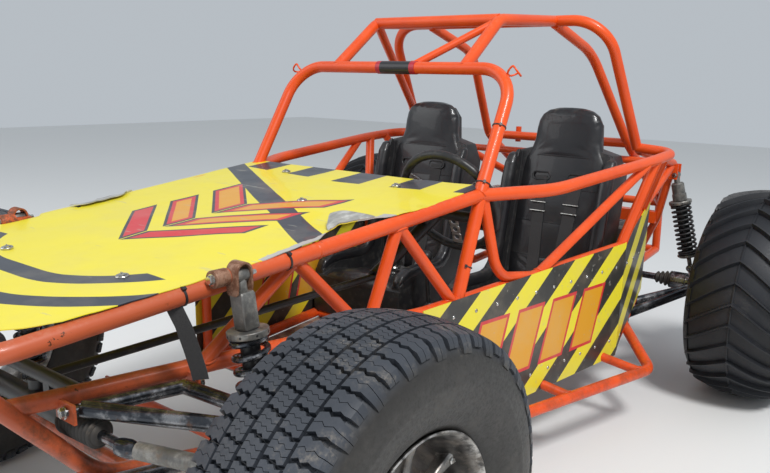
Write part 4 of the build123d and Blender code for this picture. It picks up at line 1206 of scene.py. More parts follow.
TIE_LOCK = Vector((0.55, -0.45, 0.70))
TIE_LOCK_SIZES = (0.0085, 0.006, 0.007)
WRAP_R = 0.0193
CORNERS = ((-1, -1), (1, -1), (1, 1), (-1, 1))
NOSE_RAIL_X = ((-0.280, 0.460), (-1.180, 0.405), (-1.681, 0.372))
NOSE_RAIL_Z = ((-0.280, 0.893), (-1.180, 0.803), (-1.681, 0.757))
NOSE_RAIL_WAY = (0.06, 0.99, 0.1)
PILLAR_FOOT, PILLAR_TOP = Vector((0.460, -0.280, 0.893)), Vector((0.440, -0.080, 1.243))


def flat_band(start, end, thick):
    """The profile of a band that lies on a frame tube."""
    outer = WRAP_R + thick
    return [(start, WRAP_R), (end, WRAP_R), (end, outer), (start, outer)]


def tie_ring(form, point, axis, wide=0.005):
    """A flat band round a tube with its square lock."""
    axis = Vector(axis).normalized()
    form.ring(flat_band(-wide / 2, wide / 2, 0.0016), point, axis, 40)
    out = (TIE_LOCK - axis * axis.dot(TIE_LOCK)).normalized()
    turn = Matrix((axis, out, axis.cross(out))).transposed()
    form.box(Vector(point) + out * (WRAP_R + 0.0035), TIE_LOCK_SIZES, turn)


def rail_point(y):
    """The centre of the driver's upper nose rail at a distance along the buggy."""
    return Vector((along_table(NOSE_RAIL_X, y), y, along_table(NOSE_RAIL_Z, y)))


def make_zip_ties():
    """Zip ties on the nose rails, the driver's pillar and the brace under it."""
    black = Form()
    for y in (-1.265, -1.000):
        for side, _ in SIDES:
            tie_ring(black, mirrored(rail_point(y), side), mirrored(NOSE_RAIL_WAY, side))
    for z in (0.925, 1.080):
        share = (z - PILLAR_FOOT.z) / (PILLAR_TOP.z - PILLAR_FOOT.z)
        tie_ring(black, PILLAR_FOOT.lerp(PILLAR_TOP, share), PILLAR_TOP - PILLAR_FOOT, 0.0035)
    tie_ring(black, (0.4665, -0.349, 0.700), (0.01, 0.112, 0.275), 0.0035)
    black.piece("zip_ties", PLASTIC, "chassis", "black_plastic")


def make_bar_wrap():
    """The printed wrap in the middle of the windshield bar."""
    wrap = Form()
    wrap.ring(flat_band(-0.075, 0.082, 0.0015), (0, PILLAR_TOP.y, PILLAR_TOP.z), ACROSS, 48)
    wrap.piece("windshield_bar_wrap", WRAP, "chassis", "black_plastic")


def make_limit_straps():
    """Flat straps that hang from the nose rails toward the upper arms."""
    form = Form()
    path = ((0.399, -1.288, 0.790), (0.405, -1.266, 0.735), (0.400, -1.246, 0.683), (0.392, -1.226, 0.632),
            (0.389, -1.218, 0.606))
    wide, thick = Vector((0.55, 0.83, 0.0)) * 0.0165, Vector((0.83, -0.55, 0.10)) * 0.0022
    for side, _ in SIDES:
        form.loft([
            [mirrored(Vector(point) + wide * w + thick * t, side) for w, t in CORNERS]
            for point in path
        ])
    form.piece("limit_straps", WEBBING, "chassis", "black_plastic", bevel=0.0006)


make_zip_ties()
make_bar_wrap()
make_limit_straps()


ARM_FEET = (
    ((0.296, -1.425, 0.585), (0.340, -1.225, 0.580)),
    ((0.285, -1.390, 0.405), (0.290, -1.040, 0.345)),
)
YOKE_HALF = 0.0185
YOKE_LEG = ((-0.040, 0.011), (-0.036, 0.0155), (-0.020, 0.0175), (0.008, 0.0165))


def shock_yoke(form, top, side):
    """A bent strap over a front shock's eye, with its block and boss; gives back the boss's place."""
    path = [(-YOKE_HALF, z, half) for z, half in YOKE_LEG]
    path += [(-YOKE_HALF * u, 0.008 + YOKE_HALF * v, 0.0165) for u, v in circle(24)[1:12]]
    path += [(YOKE_HALF, z, half) for z, half in YOKE_LEG[::-1]]
    rings = []
    for i, (y, z, half) in enumerate(path):
        (y0, z0, _), (y1, z1, _) = path[max(i - 1, 0)], path[min(i + 1, len(path) - 1)]
        run = Vector((0, y1 - y0, z1 - z0)).normalized()
        thick = Vector((0, -run.z, run.y)) * 0.0024
        rings.append([top + Vector((w * half, y, z)) + thick * t for w, t in CORNERS])
    form.loft(rings)
    boss = top + Vector((-0.015 * side, -0.0575, -0.002))
    form.turned([(0, 0.0185), (0.034, 0.0185), (0.036, 0.0170)], boss, BACK, 32)
    form.box(top + Vector((-0.024 * side, 0, -0.004)), (0.016, 0.046, 0.020))
    return boss


def make_shock_mounts():
    """Rusty clevises that hold the front shocks, and bolts at all the suspension's pins."""
    yokes, zinc = Form(), Form()
    for side, _ in SIDES:
        top, foot = mirrored(FRONT_SHOCK[0], side), mirrored(FRONT_SHOCK[1], side)
        zinc.bolt(shock_yoke(yokes, top, side), -BACK, 0.0105, 0.008)
        zinc.bolt(top + BACK * 0.0215, BACK, 0.0095, 0.009)
        zinc.tube([top + BACK * 0.020, top + BACK * 0.041], 0.005, 12)
        rear_top, rear_foot = mirrored(REAR_SHOCK[0], side), mirrored(REAR_SHOCK[1], side)
        for place, gap in ((foot, 0.024), (rear_top, 0.0225), (rear_foot, 0.0155)):
            zinc.bolt_pair(place, place, BACK, gap, 0.0095, 0.008)
        for front, rear in ARM_FEET:
            front, rear = mirrored(front, side), mirrored(rear, side)
            zinc.bolt_pair(front, rear, (rear - front).normalized(), 0.034, 0.0115, 0.009)
        for pivot_x in (0.530, 0.420):
            pivot = Vector((pivot_x * side, 0.690, 0.315))
            zinc.bolt_pair(pivot, pivot, ACROSS, 0.038, 0.0115, 0.009)
    yokes.piece("shock_yokes", YOKE, "chassis", "frame_paint", bevel=0.0008)
    zinc.piece("suspension_bolts", ZINC, "chassis", "arm_steel")


make_shock_mounts()


# Tie rods and boots

def bellows(start, end, inner, outer, folds, taper=1.0):
    """A profile of rounded folds along an axis."""
    profile = []
    for k in range(folds * 8 + 1):
        share = k / (folds * 8)
        swell = 0.5 - 0.5 * cos(2 * pi * folds * share)
        grow = 1.0 + (taper - 1.0) * share
        profile.append((start + (end - start) * share, (inner + (outer - inner) * swell) * grow))
    return profile


RACK_PLACE = (0, -1.405, 0.530)
ROD_STEP = (0.400, -1.405, 0.530)
ROD_EYE = (0.680, -1.310, 0.527)
AXLE_PLACE = (0, 1.076, 0.411)


def make_tie_rods():
    """The rack's rod, with a swivel, a bare sleeve and an eye at each end."""
    rod, sleeves = Form(), Form()
    rod.turned([(-ROD_STEP[0], 0.011), (ROD_STEP[0], 0.011)], RACK_PLACE, ACROSS, 28)
    for side, _ in SIDES:
        start, eye = mirrored(ROD_STEP, side), mirrored(ROD_EYE, side)
        axis = (eye - start).normalized()
        length = (eye - start).length
        rod.turned([(-0.019, 0.010), (-0.016, 0.0165), (-0.008, 0.0185), (0.010, 0.0185), (0.020, 0.0150),
                    (0.024, 0.0130), (length - 0.068, 0.0130), (length - 0.060, 0.0105),
                    (length - 0.008, 0.0105)], start, axis, 32)
        sleeves.turned([(0.026, 0.0135), (0.026, 0.0165), (0.027, 0.0175), (length - 0.066, 0.0175),
                        (length - 0.065, 0.0165), (length - 0.065, 0.0135)], start, axis, 36)
        rod.turned([(-0.010, 0.0080), (-0.010, 0.0135), (-0.008, 0.0145), (0.008, 0.0145), (0.010, 0.0135),
                    (0.010, 0.0080)], eye, UPRIGHT, 32)
    made = rod.piece("tie_rod_bars", ARM_STEEL, "rack", "arm_steel", RACK_PLACE)
    sleeves.piece("tie_rod_sleeves", ALLOY, "rack", "bare_alloy", RACK_PLACE)
    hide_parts("tie_rods")


def make_rack_boots():
    """Black bellows on the rack's two ends, with a clamp at both ends of each."""
    form = Form()
    for side, _ in SIDES:
        axis = ACROSS * side
        form.turned(bellows(0.200, 0.318, 0.0245, 0.0325, 10, 0.92) + [(0.322, 0.014)], RACK_PLACE, axis, 40)
        for at, r in ((0.203, 0.0285), (0.314, 0.0250)):
            clamp = [(at - 0.004, r), (at - 0.0035, r + 0.001), (at + 0.0035, r + 0.001), (at + 0.004, r)]
            form.turned(clamp, RACK_PLACE, axis, 36)
    form.piece("rack_boots", BOOT, "chassis", "black_plastic")


def make_axle_boots(side, name):
    """The inner and outer rubber boots on one axle shaft."""
    form = Form()
    for start, end, inner, outer in ((0.188, 0.262, 0.0260, 0.0415), (0.614, 0.540, 0.0250, 0.0375)):
        form.turned(bellows(start, end, inner, outer, 4, 0.62), AXLE_PLACE, ACROSS * side, 40)
    form.piece(f"axle_boots_{name}", BOOT, f"rear_wheel_{name}", "black_plastic", AXLE_PLACE)


make_tie_rods()
make_rack_boots()
for side, name in SIDES:
    make_axle_boots(side, name)


# Steering wheel

WHEEL_PLACE = Vector((0.285, -0.150, 0.850))
COLUMN_TILT = radians(25.0)
COLUMN_DIR = Vector((0, cos(COLUMN_TILT), sin(COLUMN_TILT)))
WHEEL_UP = COLUMN_DIR.cross(ACROSS)
SPOKE_THICK = 0.0035
SPOKE_HALF = 0.017
SPOKE_HOLE_R = 0.0088


def drilled_cell(form, center, along, wide, half_long):
    """A square cell of a spoke with a round hole."""
    outer, hole = [], []
    for u, v in circle(24, pi / 24):
        reach = 1.0 / max(abs(u), abs(v))
        outer.append(center + along * (u * reach * half_long) + wide * (v * reach * SPOKE_HALF))
        hole.append(center + (along * u + wide * v) * SPOKE_HOLE_R)
    back = -COLUMN_DIR * SPOKE_THICK
    form.loft([hole, outer, [p + back for p in outer], [p + back for p in hole], hole], caps=False)


def wheel_way(u, v):
    """A direction in the hand wheel's plane."""
    return ACROSS * u + WHEEL_UP * v


def make_steering_wheel():
    """Foam grip with moulded finger waves, three drilled spokes and a bolted hub."""
    center = WHEEL_PLACE - COLUMN_DIR * 0.020
    grip, spokes, hub, bolts = Form(), Form(), Form(), Form()
    count = 160
    waves = [0.0138 + 0.0004 * cos(2 * pi * k / count * 30) for k in range(count)]
    grip.tube([center + wheel_way(u, v) * 0.165 for u, v in circle(count)], waves, 20, loop=True)
    face = WHEEL_PLACE - COLUMN_DIR * 0.018
    for u, v in circle(3, pi / 2):
        along = wheel_way(u, v)
        wide = COLUMN_DIR.cross(along)
        turn = Matrix((along, wide, COLUMN_DIR)).transposed()
        for middle in (0.0715, 0.1005, 0.1295):
            drilled_cell(spokes, face + along * middle, along, wide, 0.0145)
        for middle, size in ((0.045, 0.028), (0.151, 0.018)):
            block = face + along * middle - COLUMN_DIR * (SPOKE_THICK / 2)
            spokes.box(block, (size, SPOKE_HALF * 2, SPOKE_THICK), turn)
    profile = [(-0.058, 0.024), (-0.030, 0.034), (-0.014, 0.036), (-0.012, 0.036), (-0.010, 0.034),
               (-0.010, 0.026), (-0.001, 0.024), (0.000, 0.019)]
    hub.turned(profile, WHEEL_PLACE, COLUMN_DIR, 40)
    for u, v in circle(6, 0.5):
        spot = WHEEL_PLACE - COLUMN_DIR * 0.0105 + wheel_way(u, v) * 0.030
        bolts.turned([(0, 0.0035), (0.003, 0.0035), (0.0036, 0.0028)], spot, COLUMN_DIR, 6)
    made = grip.piece("steering_wheel_grip", PLASTIC, "hand_wheel", "black_plastic", WHEEL_PLACE)
    spokes.piece("steering_wheel_spokes", BRUSHED, "hand_wheel", "bare_alloy", WHEEL_PLACE, bevel=0.0004)
    hub.piece("steering_wheel_hub", PLASTIC, "hand_wheel", "black_plastic", WHEEL_PLACE)
    bolts.piece("steering_wheel_bolts", ZINC, "hand_wheel", "bare_alloy", WHEEL_PLACE)
    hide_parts("steering_wheel")


make_steering_wheel()


# Seats: a shell, four pads each, blown up as cloth, then seams and a harness

SEAT_MIDDLE = 0.315
VOXEL = 0.008
CLOTH_STEPS = 20
UP, FORWARD, SLANT = Vector((0, -0.10, 0.995)), Vector((0, -0.983, 0.184)), Vector((0, -0.7, 0.7))
# Pads: stations of (y, z, half width, half depth, 0 facing up to 1 facing forward)
BASE_PAD = (
    (0.096, 0.386, 0.110, 0.012, 0), (0.099, 0.388, 0.158, 0.028, 0), (0.111, 0.390, 0.171, 0.040, 0),
    (0.150, 0.390, 0.175, 0.046, 0), (0.220, 0.382, 0.175, 0.046, 0), (0.300, 0.371, 0.175, 0.045, 0),
    (0.380, 0.360, 0.175, 0.044, 0), (0.430, 0.358, 0.174, 0.043, 0), (0.455, 0.361, 0.170, 0.037, 0),
    (0.468, 0.366, 0.148, 0.022, 0), (0.473, 0.368, 0.100, 0.010, 0),
)
BACK_PAD = (
    (0.498, 0.398, 0.110, 0.012, 1), (0.503, 0.406, 0.160, 0.027, 1), (0.512, 0.430, 0.172, 0.036, 1),
    (0.530, 0.530, 0.174, 0.037, 1), (0.554, 0.660, 0.174, 0.037, 1), (0.576, 0.780, 0.173, 0.036, 1),
    (0.592, 0.870, 0.170, 0.035, 1), (0.600, 0.915, 0.163, 0.036, 1), (0.606, 0.950, 0.146, 0.037, 1),
    (0.610, 0.985, 0.134, 0.038, 1), (0.615, 1.030, 0.131, 0.038, 1), (0.618, 1.060, 0.126, 0.037, 1),
    (0.620, 1.085, 0.112, 0.033, 1), (0.621, 1.102, 0.088, 0.025, 1), (0.622, 1.111, 0.050, 0.013, 1),
)
SIDE_PAD = (
    (0.100, 0.425, 0.010, 0.008, 0), (0.104, 0.432, 0.018, 0.016, 0), (0.120, 0.448, 0.023, 0.022, 0),
    (0.160, 0.466, 0.024, 0.024, 0), (0.220, 0.470, 0.024, 0.024, 0), (0.290, 0.466, 0.024, 0.024, 0),
    (0.350, 0.464, 0.024, 0.024, 0), (0.395, 0.474, 0.024, 0.025, 0.30), (0.432, 0.505, 0.024, 0.026, 0.62),
    (0.453, 0.550, 0.024, 0.026, 0.95), (0.473, 0.650, 0.024, 0.025, 1), (0.492, 0.750, 0.024, 0.025, 1),
    (0.510, 0.840, 0.024, 0.025, 1), (0.528, 0.900, 0.023, 0.024, 1), (0.545, 0.932, 0.018, 0.018, 1),
    (0.551, 0.940, 0.009, 0.008, 1),
)
BASE_SEAMS = (0.215, 0.330)
BACK_SEAMS = (0.560, 0.690, 0.820, 0.938)
SHELL_HEAD_Z = 0.96
BELT_WIDE = 0.048
BELT_THICK = 0.0017


def pad_form(stations, rise, aside=0.0, count=40):
    """A crowned pad skinned along its stations, standing proud of the shell by rise."""
    power = 2.7
    form = Form()
    rings = []
    for y, z, wide, deep, turn in stations:
        facing = UP.lerp(FORWARD, turn).normalized()
        ring = []
        for k in range(count):
            u, v = cos(2 * pi * k / count), sin(2 * pi * k / count)
            across = aside + wide * abs(u) ** (2 / power) * (1 if u > 0 else -1)
            out = rise + deep * abs(v) ** (2 / power) * (1 if v > 0 else -1)
            ring.append(Vector((across, y, z)) + facing * out)
        rings.append(ring)
    form.loft(rings)
    return form


def remeshed(form, name):
    """The pad as an object with even faces."""
    mesh = bpy.data.meshes.new(name)
    mesh.from_pydata([tuple(v) for v in form.verts], [], form.faces)
    mesh.update()
    made = bpy.data.objects.new(name, mesh)
    bpy.context.scene.collection.objects.link(made)
    bpy.context.view_layer.objects.active = made
    made.select_set(True)
    mesh.remesh_voxel_size = VOXEL
    bpy.ops.object.voxel_remesh()
    made.select_set(False)
    return made


def held_weight(vertex, seams, axis, facing):
    """1 at the pad's back and along its sewn seams, 0 where it may swell."""
    if vertex.normal.dot(facing) < -0.1:
        return 1.0
    return 1.0 if any(abs(vertex.co[axis] - seam) < VOXEL * 0.55 for seam in seams) else 0.0


def blow_up(made, seams, axis, facing, cap):
    """Swell a pad by cloth pressure, held at its back and seams; no point moves further than the cap."""
    held = made.vertex_groups.new(name="held")
    for vertex in made.data.vertices:
        held.add([vertex.index], held_weight(vertex, seams, axis, facing), "REPLACE")
    cloth = made.modifiers.new("cloth", "CLOTH")
    cloth.settings.use_pressure = True
    cloth.settings.uniform_pressure_force = 4.0
    cloth.settings.vertex_group_mass = held.name
    cloth.settings.quality = 5
    cloth.settings.effector_weights.gravity = 0.0
    cloth.collision_settings.use_collision = False
    scene = bpy.context.scene
    for step in range(1, CLOTH_STEPS + 1):
        scene.frame_set(step)
    swollen = made.evaluated_get(bpy.context.evaluated_depsgraph_get()).to_mesh()
    for vertex, moved in zip(made.data.vertices, swollen.vertices):
        shift = moved.co - vertex.co
        vertex.co += shift * min(1.0, cap / max(shift.length, 1e-6))
    made.modifiers.clear()
    made.vertex_groups.clear()
    scene.frame_set(1)


def inflated(form, name, seams, axis, facing, cap):
    """The pad's mesh with even faces, blown up."""
    made = remeshed(form, name)
    blow_up(made, seams, axis, facing, cap)
    mesh = made.data
    bpy.data.objects.remove(made)
    return mesh


def seat_piece(name, mesh, look, side_name, side, levels=0):
    """Place a copy of a seat mesh on one side of the cabin."""
    place = (SEAT_MIDDLE * side, 0, 0)
    label = f"{name}_{side_name}"
    return shown(label, mesh.copy(), look, "chassis", "seat_cover", place, soft=levels > 0, levels=levels)


def shell_mesh():
    """The bucket's shell: the seat's own solid with its flat faces joined and its edges rounded."""
    source = nodes["seat_left"]
    work = bmesh.new()
    work.from_mesh(source.data)
    work.transform(Matrix.Translation((-SEAT_MIDDLE, 0, 0)) @ source.matrix_world)
    bmesh.ops.remove_doubles(work, verts=work.verts, dist=0.00005)
    for vertex in work.verts:
        if vertex.co.z > SHELL_HEAD_Z:
            vertex.co.x *= 0.90
            vertex.co.z -= 0.006
    bmesh.ops.dissolve_limit(work, angle_limit=radians(2.0), verts=work.verts, edges=work.edges)
    inner = [edge for edge in work.edges if len(edge.link_faces) == 2]
    sharp = [edge for edge in inner if edge.calc_face_angle(0) > radians(25)]
    bmesh.ops.bevel(work, geom=sharp, offset=0.014, segments=4, affect="EDGES", profile=0.5,
                    clamp_overlap=True)
    mesh = bpy.data.meshes.new("seat_shell")
    work.to_mesh(mesh)
    work.free()
    return mesh


def surface_tree(meshes):
    """A tree over several meshes, for laying straps on them."""
    verts, faces = [], []
    for mesh in meshes:
        base = len(verts)
        verts += [v.co.copy() for v in mesh.vertices]
        faces += [[base + i for i in polygon.vertices] for polygon in mesh.polygons]
    return BVHTree.FromPolygons(verts, faces)


def laid(tree, points, way, lift):
    """Move points one way until they meet the pads."""
    found = []
    for point in points:
        spot, normal, _, _ = tree.ray_cast(Vector(point) - way, way)
        if spot:
            found.append((spot + normal * lift, normal))
    return found


def strap(form, course, wide):
    """A flat belt along laid points."""
    rings = []
    for i, (point, normal) in enumerate(course):
        along = (course[min(i + 1, len(course) - 1)][0] - course[max(i - 1, 0)][0]).normalized()
        side = along.cross(normal).normalized() * (wide / 2)
        out = normal * BELT_THICK
        rings.append([point - side, point + side, point + side + out, point - side + out])
    form.loft(rings)


def spread(a, b, count):
    """Evenly spaced points from a to b."""
    a, b = Vector(a), Vector(b)
    return [a.lerp(b, i / count) for i in range(count + 1)]


def make_harness(tree):
    """Shoulder and lap belts with their slots, adjusters and buckle, laid on the pads."""
    belts, metal, trim = Form(), Form(), Form()
    for side, _ in SIDES:
        upper = laid(tree, spread((0.072 * side, 0, 0.862), (0.050 * side, 0, 0.500), 22), BACK, 0.0012)
        lower = laid(tree, spread((0.047 * side, 0.462, 0), (0.010 * side, 0.350, 0), 9), -UPRIGHT, 0.0012)
        lap = laid(tree, spread((0.160 * side, 0.440, 0), (0.014 * side, 0.340, 0), 12), -UPRIGHT, 0.0030)
        strap(belts, upper + lower, BELT_WIDE)
        strap(belts, lap, BELT_WIDE)
        for share in (0.30, 0.36):
            spot, normal = upper[int(share * len(upper))]
            metal.tube([spot + normal * 0.004 + ACROSS * end for end in (-0.031, 0.031)], 0.0026, 8)
        slot = upper[0][0]
        rise = FORWARD.cross(ACROSS) * 0.014
        ring = [slot + ACROSS * ((0.022 if u > 0 else -0.022) + 0.014 * u) + rise * v for u, v in circle(24)]
        trim.tube(ring, 0.0036, 8, loop=True)
    (spot, normal), = laid(tree, [(0.0, 0.345, 0.5)], -UPRIGHT, 0.006)
    buckle = [(-0.004, 0.026), (0.005, 0.030), (0.009, 0.028), (0.010, 0.018), (0.014, 0.017), (0.015, 0.012)]
    metal.turned(buckle, spot, normal, 32)
    return belts, metal, trim


def seam_welts(tree):
    """Thin welts along the sewn seams of the base and the back."""
    form = Form()
    courses = [laid(tree, spread((-0.150, y, 0), (0.150, y, 0), 40), -UPRIGHT, 0.0) for y in BASE_SEAMS]
    for z in BACK_SEAMS:
        reach = 0.150 if z < 0.9 else 0.105
        courses.append(laid(tree, spread((-reach, 0, z), (reach, 0, z), 40), BACK, 0.0))
    for course in courses:
        form.tube([spot for spot, _ in course], 0.0016, 6)
    return form


def make_seats():
    """Two bucket seats from one set of meshes."""
    pads = [
        ("seat_base_pad", inflated(pad_form(BASE_PAD, 0.018), "base", BASE_SEAMS, 1, UP, 0.016)),
        ("seat_back_pad", inflated(pad_form(BACK_PAD, 0.022), "back", BACK_SEAMS, 2, FORWARD, 0.015)),
    ]
    tree = surface_tree([mesh for _, mesh in pads])
    for name, aside in (("outer", 0.198), ("inner", -0.198)):
        form = pad_form(SIDE_PAD, 0.010, aside, 24)
        pads.append((f"seat_{name}_pad", inflated(form, name, (), 0, SLANT, 0.005)))
    belts, metal, trim = make_harness(tree)
    parts = (
        ("seat_welts", seam_welts(tree), VINYL),
        ("harness_belts", belts, WEBBING),
        ("harness_metal", metal, ZINC),
        ("harness_slots", trim, PLASTIC),
    )
    shell = shell_mesh()
    for side, name in SIDES:
        made = seat_piece("seat_shell", shell, PLASTIC, name, side)
        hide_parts(f"seat_{name}")
        for label, mesh in pads:
            seat_piece(label, mesh, VINYL, name, side, levels=1)
        for label, form, look in parts:
            seat_piece(label, form.mesh(label), look, name, side)


make_seats()


# Weld beads

RAIL_R = 0.019
SIDE_RAILS = (  # rows of points that straight rails join, on the driver's side
    ((0.372, -1.681, 0.757), (0.405, -1.180, 0.803), (0.460, -0.280, 0.893), (0.585, -0.060, 0.900),
     (0.655, 0.560, 0.948), (0.655, 0.772, 0.962)),
    ((0.222, -1.560, 0.600), (0.455, -0.530, 0.600), (0.588, 0.505, 0.640), (0.530, 0.870, 0.745)),
    ((0.455, -0.530, 0.250), (0.588, 0.505, 0.250)),
    ((-0.440, -0.080, 1.243), (0.440, -0.080, 1.243)),
    ((-0.254, 0.128, 1.400), (0.254, 0.128, 1.400)),
    ((-0.465, 0.495, 1.420), (0.465, 0.495, 1.420)),
    ((0.345, 1.115, 0.960), (-0.345, 1.115, 0.960)),
    ((0.525, -0.415, 0.222), (0.752, 0.470, 0.222)),
)
RAILS = [pair for row in SIDE_RAILS for pair in zip(row, row[1:])]
BRACES = (  # from, to and radius, on the driver's side
    ((0.411, -0.970, 0.817), (0.312, -1.160, 0.600), 0.016),
    ((0.411, -0.970, 0.817), (0.430, -0.740, 0.595), 0.016),
    ((0.437, -0.630, 0.851), (0.430, -0.740, 0.595), 0.016),
    ((0.437, -0.630, 0.851), (0.470, -0.410, 0.605), 0.016),
    ((0.460, -0.278, 0.880), (0.470, -0.390, 0.605), 0.019),
    ((0.520, -0.010, 0.620), (0.652, 0.505, 0.935), 0.016),
    ((0.654, 0.590, 0.945), (0.588, 0.505, 0.645), 0.019),
    ((0.650, 0.690, 0.955), (0.545, 0.800, 0.725), 0.016),
    ((0.455, -0.530, 0.600), (0.455, -0.530, 0.250), 0.016),
    ((0.588, 0.505, 0.640), (0.588, 0.505, 0.250), 0.016),
    ((0.260, -0.082, 1.243), (0.256, 0.090, 1.375), 0.019),
    ((0.268, 0.495, 1.420), (0.262, 0.300, 1.410), 0.019),
    ((0.524, 0.030, 0.250), (0.636, 0.050, 0.224), 0.016),
    ((0.576, 0.410, 0.250), (0.731, 0.420, 0.224), 0.016),
    ((0.462, -0.262, 0.885), (0.500, -0.225, 0.650), 0.016),
    ((0.440, -0.080, 1.243), (0.460, -0.280, 0.893), 0.019),
)
ONE_SIDE_BRACES = (
    ((0.050, -0.081, 1.243), (0.250, 0.120, 1.394), 0.0125),
    ((-0.254, 0.135, 1.394), (-0.500, 0.705, 1.080), 0.016),
)
NOSE_SLEEVE_Y = -0.91
def weld_ring(form, end, along, brace_r, start, finish):
    """A bead where a brace meets a rail: the crossing line of the two round surfaces."""
    axis = (finish - start).normalized()
    side, other = square_to(along)
    run = along - axis * along.dot(axis)
    path = []
    for u, v in circle(32):
        out = side * u + other * v
        place = end - along * 0.09 + out * brace_r
        gap = place - start
        gap -= axis * gap.dot(axis)
        a, b, c = run.dot(run), 2 * gap.dot(run), gap.dot(gap) - RAIL_R ** 2
        root = b * b - 4 * a * c
        if root <= 0:
            return
        path.append(place + along * ((-b - sqrt(root)) / (2 * a)) + out * 0.0007)
    form.tube(path, [0.0031 + 0.0004 * cos(k * 2.4) for k in range(32)], 6, loop=True)


def joined_rail(end, brace):
    """The rail that an end of a brace is welded to."""
    for rail in RAILS:
        start, finish = Vector(rail[0]), Vector(rail[1])
        axis = (finish - start).normalized()
        reach = (end - start).dot(axis)
        off = (end - start - axis * reach).length
        alongside = -0.03 < reach < (finish - start).length + 0.03
        if alongside and off < 0.022 and abs(axis.dot(brace)) < 0.9:
            return rail
    return None


def weld_brace(form, brace, sides):
    """Beads at both ends of a brace, on one side of the frame or on both."""
    for end, far in ((brace[0], brace[1]), (brace[1], brace[0])):
        along = (Vector(end) - Vector(far)).normalized()
        rail = joined_rail(Vector(end), along)
        if not rail:
            continue
        for side in sides:
            start, finish = mirrored(rail[0], side), mirrored(rail[1], side)
            weld_ring(form, mirrored(end, side), mirrored(along, side), brace[2], start, finish)


def make_welds():
    """Beads at the ends of every brace that meets a rail, and round the nose rails' joints."""
    form = Form()
    for brace in BRACES:
        weld_brace(form, brace, (1, -1))
    for brace in ONE_SIDE_BRACES:
        weld_brace(form, brace, (1,))
    bead = [(-0.003, 0.0190), (0.0, 0.0206), (0.003, 0.0190)]
    for side, _ in SIDES:
        place, way = mirrored(rail_point(NOSE_SLEEVE_Y), side), mirrored(NOSE_RAIL_WAY, side)
        form.turned(bead, place, way, 40, caps=False)
    form.piece("weld_beads", PAINT, "chassis", "frame_paint", soft=True)


make_welds()


# Cabin fittings and fasteners

TANK_STRAP = (
    (0.806, 0.570), (0.8035, 0.655), (0.806, 0.738), (0.812, 0.7415), (0.880, 0.7415), (0.948, 0.7415),
    (0.954, 0.738), (0.9565, 0.655), (0.954, 0.570),
)


def pedal_pads(rubber):
    """Three ribbed rubber pads."""
    facing, up = Vector((0, 1, 0.35)).normalized(), Vector((0, -0.35, 1)).normalized()
    turn = Matrix((ACROSS, facing, up)).transposed()
    for x in (0.190, 0.265, 0.340):
        face = Vector((x, -0.590, 0.435)) + facing * 0.006
        rubber.box(face, (0.048, 0.006, 0.066), turn)
        for step in range(-3, 4):
            rubber.box(face + facing * 0.004 + up * (0.009 * step), (0.042, 0.004, 0.004), turn)


def tank_strap(metal, x):
    """A flat band over the fuel tank."""
    wide = ACROSS * 0.014
    band = [Vector((x, y, z)) for y, z in TANK_STRAP]
    rings = []
    for i, spot in enumerate(band):
        before, after = band[max(i - 1, 0)], band[min(i + 1, len(band) - 1)]
        out = (after - before).normalized().cross(ACROSS) * -0.0022
        rings.append([spot - wide, spot + wide, spot + wide + out, spot - wide + out])
    metal.loft(rings)


def make_cabin_fittings():
    """Pedal pads, the lever's boot and gate, the tank's cap and its straps."""
    rubber, metal = Form(), Form()
    pedal_pads(rubber)
    lever = Vector((0, 0.170, 0.310))
    lean = Vector((0, 0.130, 0.560)) - lever
    boot = [(at, r * 1.7) for at, r in bellows(0.018, 0.080, 0.014, 0.022, 4, 0.45)]
    rubber.turned(boot, lever, lean, 36)
    rubber.turned([(0.0, 0.046), (0.004, 0.046), (0.020, 0.036)], (0, 0.166, 0.319), UPRIGHT, 36)
    for x, y in ((-0.028, 0.110), (0.028, 0.110), (-0.028, 0.310), (0.028, 0.310)):
        metal.bolt((x, y, 0.319), UPRIGHT, 0.005, 0.004)
    cap = [(0.0, 0.036), (0.006, 0.036), (0.008, 0.030), (0.026, 0.030), (0.029, 0.026)]
    metal.turned(cap, (0.150, 0.880, 0.748), UPRIGHT, 40)
    for x in (-0.170, 0.170):
        tank_strap(metal, x)
    rubber.piece("cabin_rubber", PLASTIC, "chassis", "black_plastic", bevel=0.0006)
    metal.piece("cabin_metal", ZINC, "chassis", "bare_alloy")


make_cabin_fittings()


RIVET_HEAD = ((-0.001, 0.0062), (0.0008, 0.0060), (0.0022, 0.0040), (0.0028, 0.0015))
def make_rivets():
    """Two rows of rivets along each side panel, set on its outer face."""
    rivets = Form()
    for side, name in SIDES:
        panel = nodes[f"side_panel_{name}"]
        back = panel.matrix_world
        ahead = back.inverted()
        faces = surface_tree([panel.data])
        for y in [-0.535 + 0.098 * k for k in range(14)]:
            for z in (0.300, 0.575):
                start = ahead @ Vector((1.2 * side, y, z))
                spot, normal, _, _ = faces.ray_cast(start, ahead.to_3x3() @ (ACROSS * -side))
                if spot is None:
                    continue
                out = (back.to_3x3() @ normal).normalized()
                if out.x * side >= 0.5:
                    rivets.turned(RIVET_HEAD, back @ spot, out, 14)
    rivets.piece("panel_rivets", ZINC, "chassis", "panel_yellow", soft=True)


def make_gearbox_bolts():
    """Four bolts on the gearbox's front face."""
    bolts = Form()
    for x, z in ((-0.120, 0.330), (0.120, 0.330), (-0.120, 0.500), (0.120, 0.500)):
        bolts.bolt((x, 0.8745, z), -BACK, 0.008, 0.006)
    bolts.piece("gearbox_bolts", ZINC, "chassis", "engine_metal")


make_rivets()
make_gearbox_bolts()


# The engine's small parts

